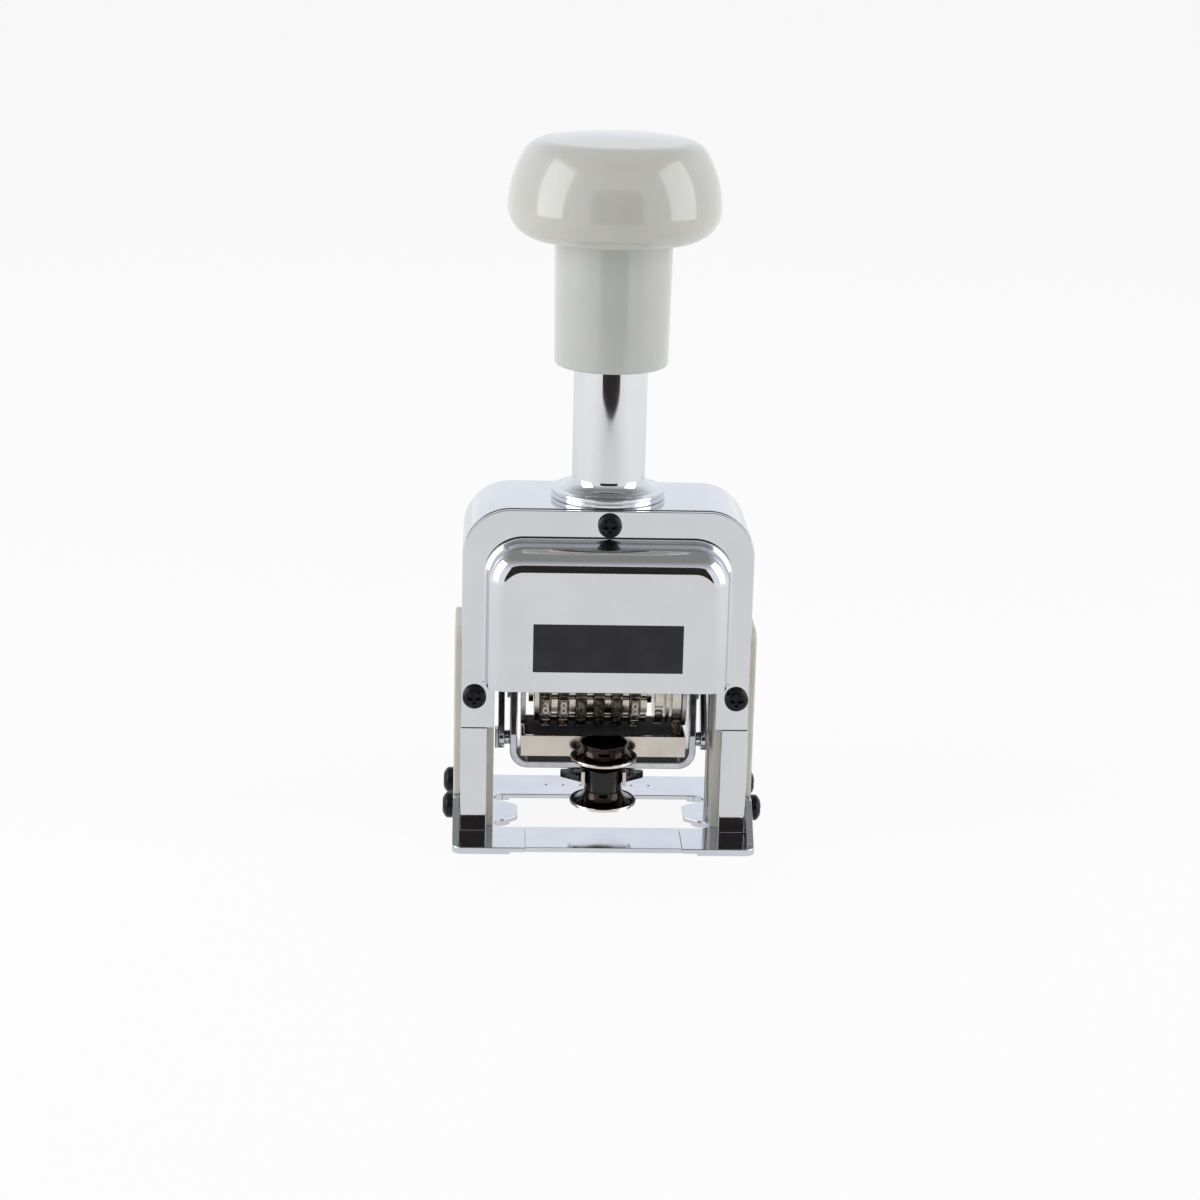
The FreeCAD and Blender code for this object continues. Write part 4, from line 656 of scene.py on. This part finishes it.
@dataclass
class WheelTrain:
    """Six number wheels on their axle, with the discs beside them."""

    axle_z: float = 31.7
    first_x: float = -12.9
    pitch: float = 3.95
    type_r: float = 9.1
    type_tilt: float = 0.1
    type_slack: float = 0.02
    wheel_half_w: float = 1.2
    spacer_reach: float = 2.5
    spacer_gap: float = 0.2
    spacer_r: float = 8.2
    spacer_bore: float = 2.05
    rim: float = 0.17
    recess: float = 0.24
    digit_height: float = 3.3
    digit_width: float = 1.42
    digit_sink: float = 0.05
    font_half_depth: float = 0.5
    font_facets: int = 5
    font_merged: float = 1e-5
    # The middle three wheels are coloured darker all over.
    worn_wheels: tuple[int, ...] = (2, 3, 4)
    edge: float = 0.06
    disc_edge: float = 0.08
    axle_edge: float = 0.2
    spacer_edge: float = 0.1
    sharp_degrees: float = 35.0
    faces: int = 10
    shown: tuple[int, ...] = (9, 8, 0, 8, 6, 8)
    shown_step: int = 2

    def build(self) -> None:
        """Make the wheels and the discs."""
        digits = [self.digit_mesh(n) for n in range(self.faces)]
        for i in range(len(self.shown)):
            self.wheel(i, digits)
        for digit in digits:
            bpy.data.meshes.remove(digit)
        self.end_spacer()
        refined("end_discs", Body.CARRIAGE, "disc_nickel", DISC_NICKEL, self.disc_edge)
        refined("repeat_dial", Body.DIAL, "disc_nickel", DISC_NICKEL, self.disc_edge)
        refined("wheel_axle", Body.CARRIAGE, "steel", STEEL, self.axle_edge)
        refined("axle_clips", Body.CARRIAGE, "steel", STEEL, self.disc_edge)

    def end_spacer(self) -> None:
        """Make the spacer disc on the axle, left of the first wheel."""
        low, high = self.first_x - self.spacer_reach, self.first_x - self.wheel_half_w - self.spacer_gap
        disc = Shape().rod(self.spacer_r, (low, 0, self.axle_z), (high, 0, self.axle_z))
        bore = Shape().rod(self.spacer_bore, (low - 1, 0, self.axle_z), (high + 1, 0, self.axle_z))
        disc = disc.cut(bore).soften(self.spacer_edge)
        disc.piece("end_spacer", Body.CARRIAGE, "disc_nickel", DISC_NICKEL)

    def digit_mesh(self, number: int) -> bpy.types.Mesh:
        """Make a raised digit, centred, with its face towards +Z.

        Args:
            number: The digit.

        Returns:
            Its mesh, in millimetres.
        """
        text = bpy.data.curves.new("digit", "FONT")
        text.body = str(number)
        text.align_x, text.align_y = "CENTER", "CENTER"
        text.extrude, text.resolution_u = self.font_half_depth, self.font_facets
        holder = bpy.data.objects.new("digit", text)
        bpy.context.scene.collection.objects.link(holder)
        mesh = bpy.data.meshes.new_from_object(holder)
        bpy.data.objects.remove(holder)
        bpy.data.curves.remove(text)
        bm = bmesh.new()
        bm.from_mesh(mesh)
        bmesh.ops.remove_doubles(bm, verts=bm.verts, dist=self.font_merged)
        xs, ys = [v.co.x for v in bm.verts], [v.co.y for v in bm.verts]
        middle = Vector(((max(xs) + min(xs)) / 2, (max(ys) + min(ys)) / 2, -self.font_half_depth))
        bmesh.ops.translate(bm, vec=-middle, verts=bm.verts)
        size = (self.digit_width / (max(xs) - min(xs)), self.digit_height / (max(ys) - min(ys)),
                self.recess + self.digit_sink)
        bmesh.ops.scale(bm, vec=size, verts=bm.verts)
        bm.to_mesh(mesh)
        bm.free()
        return mesh

    def wheel(self, index: int, digits: list[bpy.types.Mesh]) -> None:
        """Make one wheel with a raised digit in the rimmed face of each side.

        Args:
            index: Place of the wheel, from the left.
            digits: Meshes of the ten digits.
        """
        type_index, side_index, ratchet_index, recess_shade_index = range(4)
        node = "number_wheel_%d" % (index + 1)
        shape = Shape.of_node(node)
        bm = shape.bm
        axle = Vector((0, 0, self.axle_z))
        middle_x = self.first_x + index * self.pitch

        def is_type(face: bmesh.types.BMFace) -> bool:
            """Return whether a face is one of the flats that carry a digit."""
            centre = face.calc_center_median() - axle
            out = Vector((0, centre.y, centre.z))
            return (abs(face.normal.x) < self.type_tilt
                    and abs(out.dot(face.normal) - self.type_r) < self.type_slack)

        tops = [f for f in bm.faces if is_type(f)]
        for face in bm.faces:
            is_ratchet = face.calc_center_median().x > middle_x + self.wheel_half_w + SLACK
            face.material_index = ratchet_index if is_ratchet else side_index
        for face in tops:
            face.material_index = type_index
        shape.soften(self.edge, 1, self.sharp_degrees)
        tops = [f for f in bm.faces if is_type(f)]
        bmesh.ops.inset_individual(bm, faces=tops, thickness=self.rim, depth=-self.recess,
                                   use_even_offset=True)
        # The sunk floor round each digit is coloured darker than the type face: painted shade in the recess.
        for face in tops:
            face.material_index = recess_shade_index
        for turn in range(self.faces):
            before = set(bm.verts)
            bm.from_mesh(digits[(self.shown[index] + self.shown_step - turn) % self.faces])
            added = [v for v in bm.verts if v not in before]
            floor = self.type_r - self.recess - self.digit_sink
            for vert in added:
                vert.co = Vector((vert.co.x + middle_x, vert.co.y, self.axle_z - floor - vert.co.z))
            spin = Matrix.Rotation(-math.radians(360 / self.faces * turn), 3, "X")
            bmesh.ops.rotate(bm, cent=axle, matrix=spin, verts=added)
            bmesh.ops.recalc_face_normals(bm, faces=list({f for v in added for f in v.link_faces}))
        darker = index in self.worn_wheels
        # The recess finish is painted shade, darker than the plate of each wheel.
        plate, recess = (DARKER_NICKEL_AND_RECESS_SHADE, INKED_NICKEL_AND_RECESS_SHADE) if darker else (TYPE_NICKEL, DARKER_NICKEL_AND_RECESS_SHADE)
        shape.piece(node + "_typed", Body.CARRIAGE, "wheel_nickel", plate, INKED_NICKEL_AND_RECESS_SHADE, DISC_NICKEL, recess,
                    replaces=[node], body_name="wheel_%d" % (index + 1))


@dataclass
class InkGear:
    """Ink yoke with its links, tray, pad and release lever."""

    pad_edge: float = 0.5
    yoke_edge: float = 0.3
    link_edge: float = 0.2
    stud_edge: float = 0.1
    roller_edge: float = 0.15
    pin_edge: float = 0.12
    finger_edge: float = 0.14
    bell_y: float = -11.5
    bell_rim_r: float = 7.4
    bell_sheet: float = 0.7
    bell_rise: float = 4.0
    rim_band: float = 0.5
    bell_back_y: float = -8.05
    tray_rim_z: float = 18.3
    lever_rim_z: float = 8.2

    def build(self) -> None:
        """Make the swinging ink gear."""
        refined("ink_yoke", Body.YOKE, "strap_chrome", STRAP_CHROME, self.yoke_edge, 3)
        for side in ("right", "left"):
            refined("cam_link_" + side, Body.YOKE, "strap_chrome", STRAP_CHROME, self.link_edge)
        refined("link_studs", Body.YOKE, "strap_chrome", STRAP_CHROME, self.stud_edge)
        refined("cam_rollers", Body.YOKE, "steel", STEEL, self.roller_edge)
        # The black runner makes the dark strip between the tray and the yoke's web.
        refined("tray_runner", Body.YOKE, "black_plastic", BLACK_PLASTIC, self.roller_edge)
        refined("lever_pin", Body.YOKE, "steel", STEEL, self.pin_edge)
        self.finger_piece("ink_tray", Body.TRAY, "tray_nickel", self.tray_rim_z, TRAY_NICKEL)
        self.finger_piece("release_lever", Body.LEVER, "black_plastic", self.lever_rim_z, BLACK_PLASTIC)
        pad = refined("ink_pad", Body.TRAY, "ink_felt", INK_FELT, self.pad_edge, 3)
        refined("lever_brackets", Body.LEVER, "tray_nickel", TRAY_NICKEL, self.pin_edge)

    def finger_piece(self, node: str, body: Body, slot: str, rim_z: float, plate: Finish) -> None:
        """Make a piece that ends in a flared finger piece, its nickel painted near black as a painted
        reflection and its rim painted light as a painted highlight.

        Args:
            node: CAD node that it stands for.
            body: Body that it rides on.
            slot: Material slot of the record.
            rim_z: Height of the rim's foot.
            plate: Finish of the rest.
        """
        plate_index, reflection_painted_index, rim_highlight_index = range(3)
        shape = Shape.of_node(node)
        axis = Vector((0, self.bell_y, 0))
        # The tray's bell in front of its back, and the lever's bell below its rim, get the near-black nickel:
        # painted dark reflection.
        for face in shape.bm.faces:
            centre = face.calc_center_median()
            reach = (Vector((centre.x, centre.y, 0)) - axis).length
            # The band at each bell's rim gets the lighter rim nickel: painted highlight.
            at_rim = abs(centre.z - rim_z - self.bell_sheet / 2) < self.bell_sheet / 2 + SLACK
            if at_rim and reach > self.bell_rim_r - self.rim_band:
                face.material_index = rim_highlight_index
            elif centre.y < self.bell_back_y and node == "ink_tray":
                face.material_index = reflection_painted_index
            elif centre.z < rim_z + self.bell_rise and node == "release_lever" and reach < self.bell_rim_r:
                face.material_index = reflection_painted_index
            else:
                face.material_index = plate_index
        shape.soften(self.finger_edge)
        shape.piece(node + "_finished", body, slot, plate, FINGER_NICKEL_PAINTED_REFLECTION, RIM_NICKEL_PAINTED_HIGHLIGHT, replaces=[node])


@dataclass
class Works:
    """Inner parts that stay as the CAD made them, each with its finish."""

    def build(self) -> None:
        """Dress the inner nodes."""
        finishes = {"push_rod": STEEL, "rod_nut": STEEL, "carriage_frame": STEEL, "detent_comb": SPRING_STEEL,
                    "guide_shoes": SHOE_PLASTIC, "rod_bush": BRASS, "feed_rocker": DISC_NICKEL}
        for node, finish in finishes.items():
            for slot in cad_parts[node].material_slots:
                slot.material = finish.material()
            log.info("%s dressed", node)


@dataclass
class Studio:
    """Pale floor, white room, two soft lights and the camera."""

    azimuth: float = -2.503
    elevation: float = 16.261
    roll: float = 1.419
    distance: float = 0.637392
    target: Point = (-0.001152, 0.0, 0.05133)
    focal: float = 86.248
    room_light: float = 0.36
    ceiling: float = 0.3
    floor_shine: tuple[float, float] = (0.88, 1.08)
    shine_reach: tuple[float, float] = (0.10, 0.34)
    ceiling_reach: tuple[float, float] = (0.42, 0.85)
    card_size: tuple[float, float] = (0.44, 0.34)
    card_y: float = -0.425
    card_colour: Colour = (0.02, 0.014, 0.012)
    floor_half: float = 3.0
    floor_colour: Colour = (0.93, 0.93, 0.93)
    floor_glow: float = 0.9
    wall_colour: Colour = (0.94, 0.97, 1.03)
    aim: Point = (0.0, 0.0, 0.09)
    sensor: float = 36.0
    clip: tuple[float, float] = (0.01, 50.0)
    lights: tuple[tuple[str, Point, tuple[float, float], float, bool], ...] = (
        ("left_light", (-0.62, -0.16, 0.30), (0.42, 0.62), 2.3, True),
        ("right_light", (0.62, -0.16, 0.30), (0.42, 0.62), 1.8, True),
        ("top_light", (0.0, 0.05, 0.95), (0.9, 0.9), 2.2, False))

    def build(self) -> None:
        """Make the surroundings."""
        self.floor()
        self.world()
        self.dark_card()
        for name, place, size, power, seen in self.lights:
            self.soft_light(name, place, size, power, seen)
        self.camera()

    def backdrop_material(self, name: str, colour: Colour, glow: float) -> bpy.types.Material:
        """Make a matt material that looks white to the camera, to metal and to glass.

        Args:
            name: Its name.
            colour: Its colour under light.
            glow: Share of its white that those see.

        Returns:
            The material.
        """
        made = bpy.data.materials.new(name)
        made.use_nodes = True
        tree = made.node_tree
        tree.nodes.clear()
        path = tree.nodes.new("ShaderNodeLightPath")
        seen = self.any_ray(tree, path)
        share = tree.nodes.new("ShaderNodeMath")
        share.operation = "MULTIPLY"
        share.inputs[1].default_value = glow
        tree.links.new(seen, share.inputs[0])
        matt = tree.nodes.new("ShaderNodeBsdfDiffuse")
        matt.inputs["Color"].default_value = (*colour, 1.0)
        white = tree.nodes.new("ShaderNodeEmission")
        across = tree.nodes.new("ShaderNodeSeparateXYZ")
        tree.links.new(tree.nodes.new("ShaderNodeTexCoord").outputs["Object"], across.inputs[0])
        size = tree.nodes.new("ShaderNodeMath")
        size.operation = "ABSOLUTE"
        tree.links.new(across.outputs["X"], size.inputs[0])
        sides = Finish.ranged(tree, size.outputs[0], self.shine_reach, self.floor_shine)
        strength = tree.nodes.new("ShaderNodeMix")
        tree.links.new(path.outputs["Is Camera Ray"], strength.inputs[0])
        tree.links.new(sides, strength.inputs[2])
        strength.inputs[3].default_value = 1.0
        tree.links.new(strength.outputs[0], white.inputs["Strength"])
        mix = tree.nodes.new("ShaderNodeMixShader")
        out = tree.nodes.new("ShaderNodeOutputMaterial")
        tree.links.new(share.outputs[0], mix.inputs[0])
        tree.links.new(matt.outputs[0], mix.inputs[1])
        tree.links.new(white.outputs[0], mix.inputs[2])
        tree.links.new(mix.outputs[0], out.inputs["Surface"])
        return made

    @staticmethod
    def any_ray(tree: bpy.types.NodeTree, path: bpy.types.Node) -> bpy.types.NodeSocket:
        """Add the nodes that tell camera, glossy and transmission rays from the rest.

        Args:
            tree: Node tree.
            path: Light Path node.

        Returns:
            A socket that is 1 for these rays and 0 for others.
        """
        value = path.outputs["Is Camera Ray"]
        for ray in ("Is Glossy Ray", "Is Transmission Ray"):
            either = tree.nodes.new("ShaderNodeMath")
            either.operation = "MAXIMUM"
            tree.links.new(value, either.inputs[0])
            tree.links.new(path.outputs[ray], either.inputs[1])
            value = either.outputs[0]
        return value

    def floor(self) -> None:
        """Add the floor."""
        bm = bmesh.new()
        bmesh.ops.create_grid(bm, x_segments=1, y_segments=1, size=self.floor_half)
        mesh = bpy.data.meshes.new("floor")
        bm.to_mesh(mesh)
        bm.free()
        mesh.materials.append(self.backdrop_material("floor_paper", self.floor_colour, self.floor_glow))
        made = bpy.data.objects.new("floor", mesh)
        bpy.context.scene.collection.objects.link(made)

    def dark_card(self) -> None:
        """Add the dark part of the room in front, which only shows in reflections."""
        bm = bmesh.new()
        made = bmesh.ops.create_grid(bm, x_segments=1, y_segments=1, size=0.5)["verts"]
        bmesh.ops.rotate(bm, cent=(0, 0, 0), matrix=Matrix.Rotation(math.pi / 2, 3, "X"), verts=made)
        width, height = self.card_size
        bmesh.ops.scale(bm, vec=(width, 1.0, height), verts=made)
        bmesh.ops.translate(bm, vec=(0.0, self.card_y, height / 2), verts=made)
        mesh = bpy.data.meshes.new("dark_card")
        bm.to_mesh(mesh)
        bm.free()
        black = bpy.data.materials.new("dark_cloth")
        black.use_nodes = True
        shader = black.node_tree.nodes["Principled BSDF"]
        shader.inputs["Base Color"].default_value = (*self.card_colour, 1.0)
        shader.inputs["Roughness"].default_value = 1.0
        mesh.materials.append(black)
        card = bpy.data.objects.new("dark_card", mesh)
        bpy.context.scene.collection.objects.link(card)
        card.visible_camera = card.visible_diffuse = card.visible_shadow = card.visible_transmission = False

    def world(self) -> None:
        """Add the white room: plain light on matt surfaces, white walls to the camera and to metal."""
        world = bpy.data.worlds.new("room")
        bpy.context.scene.world = world
        world.use_nodes = True
        tree = world.node_tree
        tree.nodes.clear()
        path = tree.nodes.new("ShaderNodeLightPath")
        plain = tree.nodes.new("ShaderNodeBackground")
        plain.inputs["Color"].default_value = (1.0, 1.0, 1.0, 1.0)
        plain.inputs["Strength"].default_value = self.room_light
        walls = tree.nodes.new("ShaderNodeBackground")
        direction = tree.nodes.new("ShaderNodeTexCoord").outputs["Generated"]
        split = tree.nodes.new("ShaderNodeSeparateXYZ")
        tree.links.new(direction, split.inputs[0])
        height = Finish.ranged(tree, split.outputs["Z"], self.ceiling_reach, (0.0, 1.0))
        ceiling = tree.nodes.new("ShaderNodeMix")
        ceiling.data_type = "RGBA"
        ceiling.inputs[6].default_value = (*self.wall_colour, 1.0)
        ceiling.inputs[7].default_value = (self.ceiling, self.ceiling, self.ceiling, 1.0)
        tree.links.new(height, ceiling.inputs[0])
        white = tree.nodes.new("ShaderNodeMix")
        white.data_type = "RGBA"
        white.inputs[7].default_value = (1.0, 1.0, 1.0, 1.0)
        tree.links.new(path.outputs["Is Camera Ray"], white.inputs[0])
        tree.links.new(ceiling.outputs[2], white.inputs[6])
        tree.links.new(white.outputs[2], walls.inputs["Color"])
        mix = tree.nodes.new("ShaderNodeMixShader")
        out = tree.nodes.new("ShaderNodeOutputWorld")
        tree.links.new(self.any_ray(tree, path), mix.inputs[0])
        tree.links.new(plain.outputs[0], mix.inputs[1])
        tree.links.new(walls.outputs[0], mix.inputs[2])
        tree.links.new(mix.outputs[0], out.inputs["Surface"])

    def soft_light(self, name: str, place: Point, size: tuple[float, float], power: float,
                   seen: bool) -> None:
        """Add a soft box aimed at the machine.

        Args:
            name: Name of the light.
            place: Where it hangs, in metres.
            size: Width and height in metres.
            power: Power in watts.
            seen: Whether it shows in reflections.
        """
        data = bpy.data.lights.new(name, "AREA")
        data.shape, data.size, data.size_y, data.energy = "RECTANGLE", size[0], size[1], power
        made = bpy.data.objects.new(name, data)
        made.location = place
        made.rotation_mode = "QUATERNION"
        made.rotation_quaternion = (Vector(place) - Vector(self.aim)).to_track_quat("Z", "Y")
        made.visible_camera = False
        made.visible_glossy = seen
        bpy.context.scene.collection.objects.link(made)

    def camera(self) -> None:
        """Add the camera at the photograph's viewing angle."""
        data = bpy.data.cameras.new("camera")
        data.sensor_width, data.lens = self.sensor, self.focal
        data.clip_start, data.clip_end = self.clip
        made = bpy.data.objects.new("camera", data)
        azimuth, elevation = math.radians(self.azimuth), math.radians(self.elevation)
        back = Vector((math.sin(azimuth) * math.cos(elevation), -math.cos(azimuth) * math.cos(elevation),
                       math.sin(elevation)))
        made.location = Vector(self.target) + back * self.distance
        made.rotation_mode = "QUATERNION"
        aim = (-back).to_track_quat("-Z", "Y")
        made.rotation_quaternion = aim @ Matrix.Rotation(math.radians(self.roll), 3, "Z").to_quaternion()
        bpy.context.scene.collection.objects.link(made)
        bpy.context.scene.camera = made


def main() -> None:
    """Build the machine and its surroundings in order."""
    logging.basicConfig(level=logging.INFO, format="%(name)s: %(message)s")
    scene = bpy.context.scene
    scene.view_settings.view_transform = "Standard"
    for part in (Studio(), Housing(), FrontCover(), Handle(), WheelTrain(), InkGear(), Works()):
        log.info("building %s", type(part).__name__)
        part.build()


if __name__ == "__main__":
    main()
